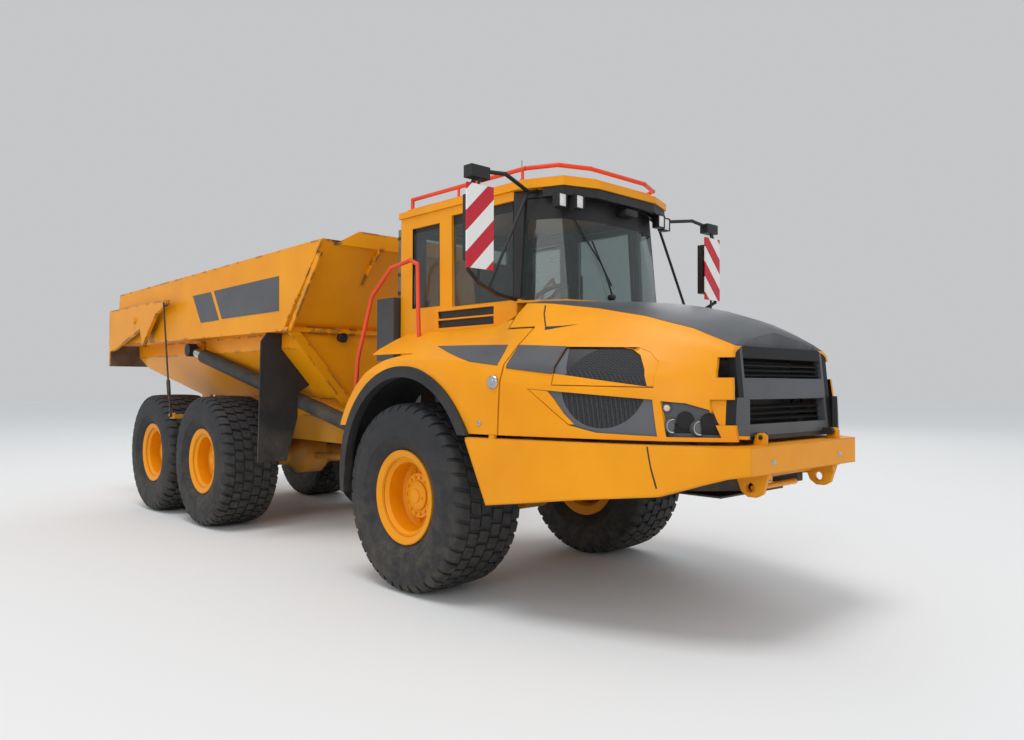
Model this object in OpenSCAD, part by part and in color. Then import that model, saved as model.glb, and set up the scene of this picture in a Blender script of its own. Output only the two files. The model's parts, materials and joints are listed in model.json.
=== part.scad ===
/* [Overall] */
// Reach of the nose ahead of the front axle
nose_reach = 2820; // [2700:10:2950]
// Reach of the tail behind the front axle
tail_reach = 7540; // [7450:10:7700]

/* [Wheels] */
// Radius of a tyre out to the tips of its lugs
tyre_r = 790; // [770:5:800]
// Width of a tyre across its side walls
tyre_w = 730; // [640:10:750]
// Radius of the rim's bead seat
rim_seat_r = 317.5; // [300:0.5:330]
// Height of the rim flange above the seat
flange_h = 75.5; // [60:0.5:85]
// Width between the rim flanges
rim_w = 559; // [500:1:580]
// Height of a tread lug
lug_h = 22; // [16:1:30]
// Lugs round a tyre, an even number
lug_n = 26; // [24:2:30]
// Distance from the centre line to the middle of a tyre
half_track = 1129; // [1115:1:1150]
// Front axle to the first bogie axle
axle_gap = 4178; // [4120:2:4240]
// Spacing of the two bogie axles
bogie_gap = 1670; // [1640:2:1700]
// Radius of the wheel hub
hub_r = 205; // [190:5:215]
// Radius of the spindle that a wheel turns on
spindle_r = 70; // [60:1:80]

/* [Hinges] */
// Steering hinge behind the front axle
hitch_back = 1210; // [1190:5:1230]
// Height of the roll bearing and the steering hinge's middle
hitch_z = 930; // [900:5:960]
// Radius of the steering pin
steer_pin_r = 50; // [40:1:60]
// Radius of the roll journal
roll_r = 130; // [115:1:140]
// Body hinge behind the front axle
tip_back = 6400; // [6360:5:6440]
// Height of the body hinge
tip_z = 1420; // [1400:5:1440]
// Radius of the body hinge pin
tip_pin_r = 40; // [30:1:50]
// Height of the tailgate hinge
gate_z = 2620; // [2580:5:2660]

/* [Front frame] */
// Distance from the centre line to the middle of a frame rail
rail_y = 400; // [380:5:420]
// Thickness of a frame rail
rail_t = 80; // [60:5:100]
// Height of the rails' underside
rail_z = 950; // [940:5:970]
// Depth of a rail
rail_h = 330; // [300:5:350]
// Radius of the tow eyes' bores
tow_r = 32; // [24:1:36]

// Radius of the bore for the rear tow pin
tow_pin_r = 25; // [20:1:30]

/* [Cab] */
// Rear wall of the cab behind the front axle
cab_back = 890; // [870:5:900]
// Half width of the cab
cab_half = 830; // [800:5:835]
// Underside of the cab
cab_z = 1700; // [1680:5:1720]
// Underside of the roof
roof_z = 3330; // [3300:5:3360]
// Thickness of the cab walls
cab_wall = 50; // [40:5:60]
// Lower edge of the side windows
belt_z = 2430; // [2420:5:2460]

/* [Body] */
// Wall-top line of the body behind the front axle
body_front = 1660; // [1650:5:1700]
// Half width of the body at its front
body_half_f = 1245; // [1230:5:1255]
// Half width of the body at its tail
body_half_r = 1430; // [1410:5:1440]
// Height of the side walls' top edge
side_top = 3100; // [3060:5:3130]
// Thickness of the body plates
plate = 30; // [20:2:36]

/* [Clearances] */
// Radial clearance of a pin in its bore
fit = 0.05; // [0.03:0.01:0.08]
// Gap between pieces that seat on each other
seat = 0.3; // [0.2:0.1:0.5]
// Gap between panels that part when one opens
panel_gap = 12; // [8:1:16]

/* [Hidden] */
$fn = 64;
yellow = [0.93, 0.62, 0.02];
dark = [0.33, 0.34, 0.35];
black = [0.09, 0.09, 0.1];
orange = [0.9, 0.28, 0.08];

axle_z = tyre_r;
mid_x = -axle_gap;
rear_x = -axle_gap - bogie_gap;
hitch_x = -hitch_back;
tip_x = -tip_back;
hub_in = 150;
hub_out = 60;
spindle_l = hub_in + hub_out - 12;

// Unit vector of a plane vector
function unit2(v) = v / norm(v);
// Plane vector turned a quarter to the left
function perp(v) = [-v[1], v[0]];
// Anticlockwise outline with each edge moved inwards by t
function inset(p, t) = [
    for (i = [0 : len(p) - 1])
        let (n = len(p), u = unit2(p[i] - p[(i + n - 1) % n]), v = unit2(p[(i + 1) % n] - p[i]),
             a = perp(u), b = perp(v))
        p[i] + t * (a + b) / (1 + a * b)
];

// Puts the whole truck so that its length is centred on the origin
module place() translate([(tail_reach - nose_reach) / 2, 0, 0]) children();
// Outline in (x, z) made into a slab across the truck from y0 to y1
module across(y0, y1) translate([0, y1, 0]) rotate([90, 0, 0]) linear_extrude(y1 - y0) children();
// Outline in (y, z) made into a bar along the truck from x0 to x1
module along(x0, x1) translate([x0, 0, 0]) rotate([90, 0, 90]) linear_extrude(x1 - x0) children();
// Both sides of the truck
module both() {
    children();
    mirror([0, 1, 0]) children();
}
// Round bar from a to b
module rod(a, b, r) {
    v = b - a;
    translate(a) rotate([0, acos(v[2] / norm(v)), atan2(v[1], v[0])]) cylinder(h = norm(v), r = r);
}
// Bent tube through a short list of points
module tube(pts, r) {
    for (i = [0 : len(pts) - 2]) rod(pts[i], pts[i + 1], r);
    for (i = [1 : len(pts) - 2]) translate(pts[i]) sphere(r * 1.08);
}
// Bar of radius r across the truck
module pin_y(x, z, y0, y1, r) translate([x, y1, z]) rotate([90, 0, 0]) cylinder(h = y1 - y0, r = r);

// Wheels: profiles are (radius, distance outwards from the tyre's middle)
module wheel_at(x, side) place() translate([x, side * half_track, axle_z])
    rotate([-90 * side, 0, 0]) children();
module tyre(x, side) {
    w = tyre_w / 2;
    f = rim_w / 2 - seat;
    base = tyre_r - lug_h;
    half = [[rim_seat_r + seat, f], [rim_seat_r + flange_h + 3, f], [570, w], [base, w - 50]];
    pitch = 360 / lug_n;
    land = pitch * 0.34;
    color(black) wheel_at(x, side) {
        rotate_extrude($fn = 40) polygon(concat(half, [for (i = [3 : -1 : 0]) [half[i][0], -half[i][1]]]));
        translate([0, 0, 55 - w]) linear_extrude(tyre_w - 110) difference() {
            polygon([for (i = [0 : lug_n - 1]) for (q = [[-land, base + 1], [-land, tyre_r], [land, tyre_r],
                [land, base + 1]]) let (t = 90 + land + i * pitch + q[0]) q[1] * [cos(t), sin(t)]]);
            circle(r = base - 60, $fn = 40);
        }
    }
}
module rim(x, side) {
    f = rim_w / 2;
    r = rim_seat_r;
    t = r + flange_h;
    lip = [[r, f], [t, f], [t, f + 22], [t - 10, f + 26], [r + 18, f + 8]];
    color(yellow) wheel_at(x, side) difference() {
        rotate_extrude() polygon(concat(
            [[0, -hub_in], [hub_r, -hub_in], [hub_r, 20], [r - 36, 20], [r - 36, -f + 40]],
            [[r - 10, -f - 8], [t - 10, -f - 26], [t, -f - 22], [t, -f], [r, -f]],
            lip,
            [[r - 30, f - 40], [r - 30, 95], [r - 60, 60], [hub_r, 60], [hub_r - 18, 140], [0, 150]]));
        translate([0, 0, -hub_in - 1]) cylinder(h = hub_in + hub_out + 1, r = spindle_r + fit);
    }
}
// Round axle housing with its two hub ends and spindles
module axle(x) {
    e = half_track - hub_in - seat;
    translate([x, 0, axle_z]) rotate([-90, 0, 0]) rotate_extrude() polygon([
        [0, -e - spindle_l], [spindle_r, -e - spindle_l], [spindle_r, -e], [hub_r - 15, -e],
        [hub_r - 15, -e + 90], [115, -e + 150], [115, -300], [235, -150], [235, 150], [115, 300],
        [115, e - 150], [hub_r - 15, e - 90], [hub_r - 15, e], [spindle_r, e],
        [spindle_r, e + spindle_l], [0, e + spindle_l]]);
}

// Front frame: two rails, cross members and the two lugs of the steering hinge
lug_t = 80;
lug_z = [hitch_z - 230, hitch_z + 150];
steer_z = hitch_z - 60;
steer_base = [-260, 500];
steer_eye = [-1460, 320];
module hitch_lug(z, w) translate([0, 0, z]) difference() {
    linear_extrude(lug_t) polygon([[hitch_x - 90, -90], [hitch_x + 60, -160], [-600, -w],
        [-600, w], [hitch_x + 60, 160], [hitch_x - 90, 90]]);
    translate([hitch_x, 0, -1]) cylinder(h = lug_t + 2, r = steer_pin_r + fit);
}
module front_frame() color(dark) place() {
    both() across(rail_y - rail_t / 2, rail_y + rail_t / 2) polygon([[-700, rail_z], [2000, rail_z],
        [2560, rail_z + 60], [2560, rail_z + rail_h - 40], [900, rail_z + rail_h],
        [-500, rail_z + rail_h], [-700, lug_z[1] + lug_t]]);
    for (x = [-420, 600, 950, 1800, 2440]) translate([x, -rail_y, rail_z + 110])
        cube([90, 2 * rail_y, 150]);
    // Belly plate
    translate([700, -rail_y - rail_t / 2, rail_z - 12]) cube([1700, 2 * rail_y + rail_t, 14]);
    hitch_lug(lug_z[0], 260);
    hitch_lug(lug_z[1], rail_y);
    both() translate([-1000, 200, lug_z[0] + 10]) cube([400, 40, lug_z[1] - lug_z[0]]);
    along(-640, -600) polygon([[-260, lug_z[0]], [260, lug_z[0]], [290, 930], [rail_y, rail_z],
        [rail_y, 1150], [-rail_y, 1150], [-rail_y, rail_z], [-290, 930]]);
    // Cab mounts and the carrier behind the cab
    both() for (x = [-620, 520]) translate([x, rail_y - 40, rail_z + rail_h - 100])
        cube([120, 80, cab_z - rail_z - rail_h + 100 - seat]);
    both() translate([-1020, rail_y - 40, lug_z[1]]) cube([420, 80, lug_t]);
    // Brackets and pins of the steering cylinders
    both() {
        translate([-190, rail_y - 30, steer_z - 74]) cube([30, 190, 160]);
        for (z = [-74, 44]) translate([-320, rail_y + 40, steer_z + z]) cube([160, 120, 30]);
        translate([steer_base[0], steer_base[1], steer_z - 74]) cylinder(h = 148, r = 30);
    }
}
module engine_block() color(dark) place()
    translate([880, -rail_y + 60, rail_z + 260 + seat]) cube([1080, 2 * rail_y - 120, 700]);
module front_axle() color(yellow) place() {
    axle(0);
    // Rubber springs under the rails
    both() for (r = [[100, 0, 50], [80, 50, rail_z - axle_z - 50 - seat]])
        translate([0, rail_y, axle_z + r[1]]) cylinder(h = r[2], r = r[0]);
    // Drag frame from the axle to the lug behind it
    translate([0, 0, 715]) linear_extrude(60) polygon([[-600 + seat, -90], [-600 + seat, 90],
        [-60, 440], [-60, 300], [-420, 0], [-60, -300], [-60, -440]]);
}
// Radiator cores: one behind the front grille, one at the right side with its fan ring
fan_c = [1840, -830, 1700];
fan_r = 270;
module radiators() color(dark) place() {
    translate([2280, -560, rail_z + rail_h - 33]) cube([120, 1120, 660]);
    difference() {
        translate([fan_c[0] - 330, fan_c[1], fan_c[2] - 320]) cube([660, 110, 610]);
        pin_y(fan_c[0], fan_c[2], fan_c[1] - 1, fan_c[1] + 60, fan_r + 15);
        pin_y(fan_c[0], fan_c[2], fan_c[1] + 50, fan_c[1] + 111, 24 + fit);
    }
    translate([fan_c[0] - 300, -rail_y - 340, rail_z + rail_h - 40]) cube([600, 300 - seat, 160]);
}
module radiator_fan() color(black) place() {
    pin_y(fan_c[0], fan_c[2], fan_c[1] - 30, fan_c[1] + 105, 24);
    pin_y(fan_c[0], fan_c[2], fan_c[1] - 34, fan_c[1] + 44, 70);
    for (a = [0 : 45 : 315]) translate([fan_c[0], fan_c[1] + 12, fan_c[2]]) rotate([0, a, 0])
        rotate([0, 0, 30]) translate([-30, -5, 60]) cube([60, 10, fan_r - 70]);
}

// Plan outline of the bumper's right-hand half, (forwards, outwards)
bumper_top = 1337;
bumper_plan = [[870, 1490], [1360, 1400], [1800, 1275], [2300, 1110], [2600, 950],
               [nose_reach, 765]];
bumper_low = [[1065, 845], [1800, 945], [2340, 1005], [2700, 1130], [nose_reach + 1, 1150]];
function halves(p) = concat([for (i = [len(p) - 1 : -1 : 0]) [p[i][0], -p[i][1]]], p);
module bumper() color(yellow) place() {
    outline = concat([for (q = bumper_plan) [q[0], -q[1]]],
                     [for (i = [len(bumper_plan) - 1 : -1 : 0]) bumper_plan[i]]);
    difference() {
        translate([0, 0, 800]) linear_extrude(bumper_top - 800) polygon(outline);
        translate([0, 0, 799]) linear_extrude(bumper_top - 799 - plate)
            polygon(inset(outline, plate));
        translate([0, 0, 799]) linear_extrude(bumper_top - 798 - plate)
            translate([800, -1300]) square([600, 2600]);
        translate([0, 0, bumper_top - plate - 2]) linear_extrude(plate + 4) polygon([[800, -1320],
            [1100, -1320], [1300, -1240], [1760, -1110], [2240, -940], [2500, -800],
            [2500, 800], [2240, 940], [1760, 1110], [1300, 1240], [1100, 1320], [800, 1320]]);
        across(-1600, 1600) polygon(concat([[860, 700]], [[860, bumper_top - 4]], bumper_low,
            [[nose_reach + 1, 700]]));
        translate([800, 1000, 700]) cube([430, 600, 700]);
    }
    // Posts under the fender edges
    translate([1080, -1440, bumper_top - 20]) cube([60, 30, form_z - bumper_top + 20 - seat]);
    // Step bar between the tow eyes
    pin_y(2615, 1110, -480, 480, 20);
    // Brackets beside the rails, tow eyes and the ears of the hood hinge
    both() {
        translate([2400, rail_y + rail_t / 2 + seat, 1100]) cube([420 - plate, 40, bumper_top - 1110]);
        difference() {
            across(475, 515) polygon([[2560, 1200], [2800, 1200], [2800, 1150], [2755, 1010],
                [2710, 985], [2650, 985], [2600, 1020], [2560, 1120]]);
            pin_y(2665, 1050, 460, 560, tow_r);
        }
        difference() {
            across(515, 545) polygon([[2700, 1320], [2800, 1320], [2800, 1400], [2775, 1418],
                [2745, 1418], [2725, 1400]]);
            pin_y(hood_hinge[0], hood_hinge[1], 510, 550, 14 + fit);
        }
    }
}

// Hood and fender form: stations with named columns, all on the right-hand side's positive values
// x, bottom half width, bulge half width, bulge z, shoulder half width, shoulder z,
// crease half width, crease z, cap-edge half width, cap-edge z, crown z
FORM = [
    [-1000, 1490, 1488, 1700, 1450, 1930, 1120, 2130, 860, 2210, 2215],
    [ 200, 1490, 1488, 1700, 1450, 1935, 1110, 2150, 860, 2225, 2230],
    [ 700, 1485, 1480, 1650, 1430, 1920, 1085, 2165, 868, 2240, 2245],
    [ 880, 1465, 1455, 1640, 1405, 1900, 1075, 2170, 870, 2385, 2440],
    [1150, 1420, 1410, 1620, 1360, 1880, 1050, 2165, 850, 2365, 2440],
    [1600, 1290, 1280, 1600, 1235, 1855, 990, 2115, 810, 2300, 2400],
    [2000, 1155, 1145, 1580, 1105, 1815, 915, 2060, 765, 2220, 2335],
    [2350, 1005, 995, 1560, 955, 1765, 815, 1990, 700, 2120, 2240],
    [2600, 820, 810, 1540, 790, 1700, 710, 1930, 640, 2010, 2115],
    [2740, 690, 680, 1520, 665, 1650, 640, 1880, 600, 1940, 2030]
];
form_z = 1362;
// Smooth curve through four values, at t of the middle span
function smooth4(a, b, c, d, t) =
    0.5 * (2 * b + (c - a) * t + (2 * a - 5 * b + 4 * c - d) * t * t + (3 * b - a - 3 * c + d) * t * t * t);
function row(i) = FORM[max(0, min(len(FORM) - 1, i))];
function station(i, t) = smooth4(row(i - 1), row(i), row(i + 1), row(i + 2), t);
// Half outline of one station from its bottom edge to its crown
function half_ring(s) = [[s[1], form_z], [s[2], s[3]], [s[4], s[5]], [s[6], s[7]], [s[8], s[9]],
                         [s[8] * 0.55, (s[9] + 2 * s[10]) / 3], [0, s[10]]];
function ring_curve(h) = concat([h[0]], [for (i = [0 : len(h) - 2]) for (k = [1 : 2])
    smooth4(h[max(0, i - 1)], h[i], h[i + 1], h[min(len(h) - 1, i + 2)], k / 2)]);
function ring(s) = let (c = ring_curve(half_ring(s)), n = len(c))
    concat(c, [for (i = [n - 2 : -1 : 0]) [-c[i][0], c[i][1]]]);
module loft(first, last, steps, t, low) {
    st = concat([for (i = [first : last - 1]) for (k = [0 : steps - 1]) station(i, k / steps)],
                [row(last)]);
    rings = [for (s = st) inset(ring(s), t)];
    n = len(rings[0]);
    pts = [for (j = [0 : len(st) - 1]) for (i = [0 : n - 1])
        [st[j][0], rings[j][i][0], (i == 0 || i == n - 1) ? low : rings[j][i][1]]];
    m = len(st);
    polyhedron(pts, concat(
        [[for (i = [0 : n - 1]) i]],
        [for (j = [0 : m - 2]) for (i = [0 : n - 1]) [j * n + i, (j + 1) * n + i, (j + 1) * n + (i + 1) % n]],
        [for (j = [0 : m - 2]) for (i = [0 : n - 1]) [j * n + i, (j + 1) * n + (i + 1) % n, j * n + (i + 1) % n]],
        [[for (i = [n - 1 : -1 : 0]) (m - 1) * n + i]]), convexity = 6);
}
skin = 26;
split_x = 1150;
hood_top_x = 905;
module form_shell(first, last) difference() {
    loft(first, last, 2, 0, form_z);
    translate([0.5, 0, 0]) loft(max(0, first), last, 2, skin, form_z - 40);
    translate([FORM[last][0] - 30, -560, form_z - 50]) cube([80, 1120, 620]);
}
// Cap-edge line of the hood in (x, z), from the screen to the nose
function cap_line(d) = [for (s = FORM) if (s[0] > 800) [s[0], s[9] + d]];
module above_cap_line(d) across(-1600, 1600) polygon(concat([[700, 3000], [700, row(3)[9] + d]],
    cap_line(d), [[2900, row(9)[9] - 20 + d], [2900, 3000]]));
nose_face = [[2700, form_z], [2640, 1970], [2600, 2060], [2500, 2200]];
module nose_cut() across(-1600, 1600) polygon(concat([[2705, form_z - 60]], nose_face,
    [[2500, 3000], [3000, 3000], [3000, form_z - 60]]));
// Room for the windscreen and the cab's front in front of which the hood ends
module screen_room() translate([0, 0, 2150]) linear_extrude(900) polygon([[-2000, -2000],
    [hood_top_x, -2000], [hood_top_x, -cab_half - 40], [1175, -640], [1275, -300], [1275, 300],
    [1175, 640], [hood_top_x, cab_half + 40], [hood_top_x, 2000], [-2000, 2000]]);
module hood_shell() difference() {
    form_shell(3, 9);
    nose_cut();
    screen_room();
    translate([0, -2000, 0]) cube([split_x + panel_gap, 4000, 2175]);
}
hood_hinge = [2762, 1388];
nose_bar_z = 1392;
module hood() color(yellow) place() {
    difference() {
        hood_shell();
        above_cap_line(-0.4);
        side_openings(0, 0);
    }
    both() across(474, 500) polygon([[hood_hinge[0] - 100, nose_bar_z],
        [hood_hinge[0] - 100, hood_hinge[1] - 20], [hood_hinge[0] + 8, hood_hinge[1] - 22],
        [hood_hinge[0] + 22, hood_hinge[1]], [hood_hinge[0] + 8, hood_hinge[1] + 30],
        [hood_hinge[0] - 60, hood_hinge[1] + 30], [hood_hinge[0] - 60, nose_bar_z]]);
    both() pin_y(hood_hinge[0], hood_hinge[1], 474, 550, 14);
    // Cross bar along the lower edge of the nose
    across(-640, 640) polygon([[2640, form_z + 2], [2699, form_z + 2], [2697, nose_bar_z], [2640, nose_bar_z]]);
}
module hood_cap() color(dark) place() intersection() {
    hood_shell();
    above_cap_line(0);
}
// Outlines of the side openings in (x, z): upper mesh, lower mesh and lamp recess
upper_mesh = [[1560, 1726], [2250, 1712], [2235, 1890], [2160, 1955], [2070, 1990], [1560, 2004]];
lower_mesh = [[1380, 1702], [1560, 1560], [1700, 1452], [1900, 1405], [2290, 1392], [2252, 1634]];
lamp_hole = [[2300, 1625], [2440, 1612], [2560, 1570], [2625, 1390], [2345, 1390]];
module side_openings(d, grow) {
    for (p = [upper_mesh, lower_mesh, lamp_hole])
        both() across(500, 1700) polygon(inset(p, -d));
    // The grille's two openings run round into the sides of the nose
    for (z = [grille_low, grille_high]) both() across(500, 1000)
        polygon([[2575, z[0]], [2800, z[0]], [2800, z[1]], [2560, z[1]]]);
}
module side_grilles() color(dark) place() intersection() {
    difference() {
        loft(4, 9, 2, skin - 12, form_z + 5);
        loft(4, 9, 2, skin + 6, form_z - 40);
    }
    both() for (p = [upper_mesh, lower_mesh]) across(500, 1700) polygon(inset(p, seat));
}
module headlamps() color(dark) place() intersection() {
    loft(6, 9, 2, skin + seat, form_z - 40);
    // Back of the lamp recess and two round lamps on each side
    both() {
        translate([0, 0, 1378]) linear_extrude(272) polygon([[2296, 954], [2780, 610],
            [2780, 655], [2296, 999]]);
        for (q = [[2405, 880, 1500], [2530, 793, 1490]]) translate(q) rotate([-90, 0, -35])
            cylinder(h = 65, r = 58);
    }
}
grille_low = [1470, 1636];
grille_high = [1781, 1915];
module front_grille() color(dark) place() intersection() {
    loft(7, 9, 2, skin + seat, form_z - 40);
    union() {
        // Frame of two wide openings
        difference() {
            across(-655, 655) polygon([[2630, nose_bar_z + seat], [2694, nose_bar_z + seat], [2634, 1995], [2580, 1985]]);
            for (z = [grille_low, grille_high]) translate([2500, -560, z[0]])
                cube([300, 1120, z[1] - z[0]]);
        }
        // Slats behind the openings
        for (z = [grille_low, grille_high]) for (k = [1 : 3]) translate([2590, -600, z[0] + k * (z[1] - z[0]) / 4])
            rotate([0, 25, 0]) cube([46, 1200, 5]);
    }
}

// Fenders: the same form further back, with the wheel arches cut out
arch = [50, 950];
arch_r = 930;
fender_r = 1030;
deck_z = 1905;
deck_x = [-320, 1100];
module fender_cut() {
    translate([split_x, -2000, 0]) cube([2000, 4000, 4000]);
    pin_y(arch[0], arch[1], -2000, 2000, arch_r, $fn = 180);
    translate([-2000, -cab_half - seat, 0]) cube([4000, 2 * (cab_half + seat), 4000]);
    translate([-2000, -2000, 0]) cube([2040, 4000, arch[1]]);
    // Rear edge follows the arch
    difference() {
        translate([-1500, -2000, 0]) cube([1550, 4000, 2190]);
        pin_y(arch[0], arch[1], -2001, 2001, fender_r, $fn = 180);
        translate([-560, -2001, 1990]) cube([700, 4002, 300]);
    }
    translate([-1500, -2000, 1900]) cube([940, 4000, 600]);
    translate([hood_top_x - panel_gap, -2000, 2175 - panel_gap]) cube([2000, 4000, 2000]);
    translate([780, -2000, 2242]) cube([2000, 4000, 2000]);
}
module fenders() color(yellow) place() {
    difference() {
        form_shell(0, 5);
        fender_cut();
        // Room for the open door on the left
        translate([deck_x[0], 0, deck_z]) cube([2000, 2000, 1000]);
    }
    // Step deck and its end wall on the left
    translate([0, 0, deck_z - 20]) linear_extrude(20) polygon([[-340, cab_half + seat], [1149, cab_half + seat],
        [1149, 1345], [880, 1392], [700, 1425], [-340, 1440]]);
    along(deck_x[0] - 20, deck_x[0]) polygon([[cab_half + seat, deck_z - 15], [1435, deck_z - 15],
        [1440, 1925], [1110, 2128], [862, 2205], [cab_half + seat, 2205]]);
}
module arch_flares() color(black) place() both() difference() {
    union() {
        pin_y(arch[0], arch[1], 850, 1488, arch_r - seat, $fn = 180);
        pin_y(arch[0], arch[1], 1420, 1504, arch_r - seat, $fn = 180);
    }
    pin_y(arch[0], arch[1], 840, 1421, arch_r - 24, $fn = 180);
    pin_y(arch[0], arch[1], 840, 1600, arch_r - 90, $fn = 180);
    pin_y(0, axle_z, 840, 1600, tyre_r + 20, $fn = 180);
    translate([-2000, 0, 0]) cube([4000, 2000, 760]);
    translate([arch[0], 0, 0]) cube([2000, 2000, 1350]);
}

// Cab: hollow shell with its windows cut, roof, glass and inside
cab_plan = [[-cab_back, -cab_half], [760, -cab_half], [1110, -610], [1205, -290], [1205, 290],
            [1110, 610], [760, cab_half], [-cab_back, cab_half]];
screen_x = 740;
screen_z = 2400;
rake = 6;
module cab_volume(t) intersection() {
    translate([0, 0, screen_z]) rotate([0, -rake, 0]) translate([0, 0, -1000])
        linear_extrude(2300) polygon([for (q = inset(cab_plan, t)) [q[0] < 0 ? -1500 : q[0], q[1]]]);
    across(-1000, 1000) polygon([[-cab_back + t, cab_z + t], [screen_x - t, cab_z + t],
        [screen_x - t, screen_z + t / 2], [1400, screen_z + t / 2], [1400, t > 0 ? roof_z + 100 : roof_z],
        [-cab_back + t, t > 0 ? roof_z + 100 : roof_z]]);
}
win_rear_side = [[-700, belt_z + 20], [-280, belt_z + 20], [-290, 3210], [-700, 3210]];
win_side = [[-95, belt_z], [700, belt_z], [690, 3250], [-110, 3250]];
door_open = [[-95, 1920], [690, 1920], [700, 2430], [665, 3262], [-110, 3262]];
module windows(d) {
    both() across(700, 1000) polygon(inset(win_rear_side, d));
    across(-1000, -700) polygon(inset(win_side, d));
    translate([-cab_back - 100, -560 + d, 2480 + d]) cube([200, 1120 - 2 * d, 760 - 2 * d]);
    // Curved windscreen between the posts
    difference() {
        translate([0, 0, screen_z + 20 + d]) linear_extrude(roof_z - screen_z - 80 - 2 * d)
            translate([770 + d, -1000]) square([1000, 2000]);
    }
}
module cab_shell() color(yellow) place() {
    cab_body();
    door_hinge(1);
}
module cab_body() difference() {
    cab_volume(0);
    cab_volume(cab_wall);
    windows(0);
    across(cab_half - 100, cab_half + 100) polygon(door_open);
    // Air slots under the right-hand window
    for (z = [2245, 2328]) across(-cab_half - 10, -cab_half + 18) polygon([[-305, z], [455, z],
        [455, z + 68], [-305, z + 68]]);
}
door_pin = [-100, 843];
module door_hinge(side) for (z = [2060, 3060]) translate([door_pin[0], door_pin[1], z + side * 31]) {
    if (side > 0) {
        translate([-46, -12, 0]) cube([46, 25, 28]);
        cylinder(h = 28, r = 11);
        translate([0, 0, -30]) cylinder(h = 31, r = 6);
    } else difference() {
        union() {
            translate([0, -9, 0]) cube([55, 18, 28]);
            translate([16, -14, 0]) cube([39, 12, 28]);
            cylinder(h = 28, r = 11);
        }
        translate([0, 0, -1]) cylinder(h = 30, r = 6 + fit);
    }
}
module cab_glass() color([0.4, 0.5, 0.55, 0.4]) place() intersection() {
    difference() {
        cab_volume(cab_wall / 2 - 5);
        cab_volume(cab_wall / 2 + 5);
    }
    windows(seat);
    translate([-cab_back - 10, -1000, 0]) cube([3000, 2000, roof_z - 40]);
}
module cab_door() color(yellow) place() {
    door_hinge(0);
    door_panel();
}
module door_panel() difference() {
    across(cab_half - cab_wall, cab_half) polygon(inset(door_open, 6));
    across(cab_half - 100, cab_half + 100) polygon([[-30, 2300], [640, 2300], [655, 2500],
        [610, 3200], [-40, 3200]]);
}
module door_glass() color([0.4, 0.5, 0.55, 0.4]) place()
    across(cab_half - 30, cab_half - 20) polygon(inset([[-30, 2300], [640, 2300], [655, 2500],
        [610, 3200], [-40, 3200]], seat));
roof_plan = [[-cab_back - 20, -cab_half - 15], [760, -cab_half - 15], [1130, -690], [1240, -380],
             [1240, 380], [1130, 690], [760, cab_half + 15], [-cab_back - 20, cab_half + 15]];
module cab_roof() color(yellow) place() {
    translate([0, 0, roof_z + seat]) linear_extrude(60) polygon(roof_plan);
    translate([0, 0, roof_z + 60]) linear_extrude(34) polygon(inset(roof_plan, 60));
}
module cab_interior() color(black) place() {
    f = cab_z + cab_wall + seat;
    translate([-420, -150, f]) cube([480, 300, 360]);
    translate([-460, -260, f + 360]) cube([540, 520, 130]);
    translate([-460, -250, f + 480]) rotate([0, -8, 0]) cube([130, 500, 720]);
    translate([500, -700, f]) cube([screen_x - cab_wall - 500 - seat, 1400, 620]);
    rod([540, 0, f + 480], [330, 0, f + 760], 30);
    translate([330, 0, f + 760]) rotate([0, -35, 0]) difference() {
        cylinder(h = 30, r = 210);
        translate([0, 0, -1]) difference() {
            cylinder(h = 32, r = 180);
            cylinder(h = 32, r = 40);
            for (a = [0, 120, 240]) rotate([0, 0, a]) translate([0, -16, 0]) cube([200, 32, 32]);
        }
    }
}
module roof_lights() color(black) place() {
    // Visor under the front of the roof, with its lamps
    difference() {
        translate([0, 0, roof_z - 75]) linear_extrude(75 - seat) polygon(inset(roof_plan, 14));
        translate([0, 0, roof_z - 76]) linear_extrude(80) polygon(inset(roof_plan, 54));
        translate([-1000, -1000, roof_z - 80]) cube([1950, 2000, 90]);
    }
    both() {
        translate([1060, 655, roof_z - 180]) cube([60, 90, 115]);
        translate([1110, 505, roof_z - 180]) cube([60, 90, 115]);
    }
}
module roof_rail() color(orange) place() {
    z = roof_z + 190;
    foot = roof_z + 94 + seat;
    tube([[-cab_back + 90, -760, foot], [-cab_back + 90, -760, z], [760, -760, z], [1020, -640, z],
        [1130, -360, z], [1130, 360, z], [1020, 640, z], [760, 760, z], [-cab_back + 90, 760, z],
        [-cab_back + 90, 760, foot]], 19);
    both() for (x = [-100, 730]) rod([x, 760, foot], [x, 760, z], 13);
}
module handrail(dx) tube([[-1060, 1240, 1400], [-1060, 1240, 1480], [-1035, 1215, 1980],
    [-940, 1130, 2560], [-760, 1040, 2820], [-560, 960, 2885], [-420 + dx, 980, 2830],
    [-300 + dx, 1060, 2400], [-240 + dx, 1090, 2040]], 19);
module handrails() color(orange) place() difference() {
    union() {
        mirror([0, 1, 0]) handrail(0);
        handrail(-130);
        both() rod([-1060, 1240, 1400], [-740, 1240, 1400], 16);
    }
    loft(0, 3, 2, -seat, form_z - 100);
    pin_y(arch[0], arch[1], -1500, 1500, arch_r);
}
module mirror_arms() color(black) place() both() {
    tube([[880, 740, roof_z - 20], [900, 860, 3285], [1040, 1240, 3330], [1050, 1520, 3300],
        [1056, 1610, 3150], [1056, 1620, 2560], [1010, 1480, 2480], [840, 1140, 2440],
        [730, cab_half + 5.8, 2430]], 16);
    translate([1000, 1440, 3240]) cube([90, 180, 90]);
    translate([985, 1420, 2640]) cube([60, 195, 480]);
}
module warning_boards() color("red") place() both()
    translate([1073.5, 1400, 2575]) cube([12, 260, 615]);
module exhaust_stack() color([0.5, 0.47, 0.42]) place() {
    translate([-1030, -700, 2570 + seat]) cylinder(h = 690, r = 52);
}
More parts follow.
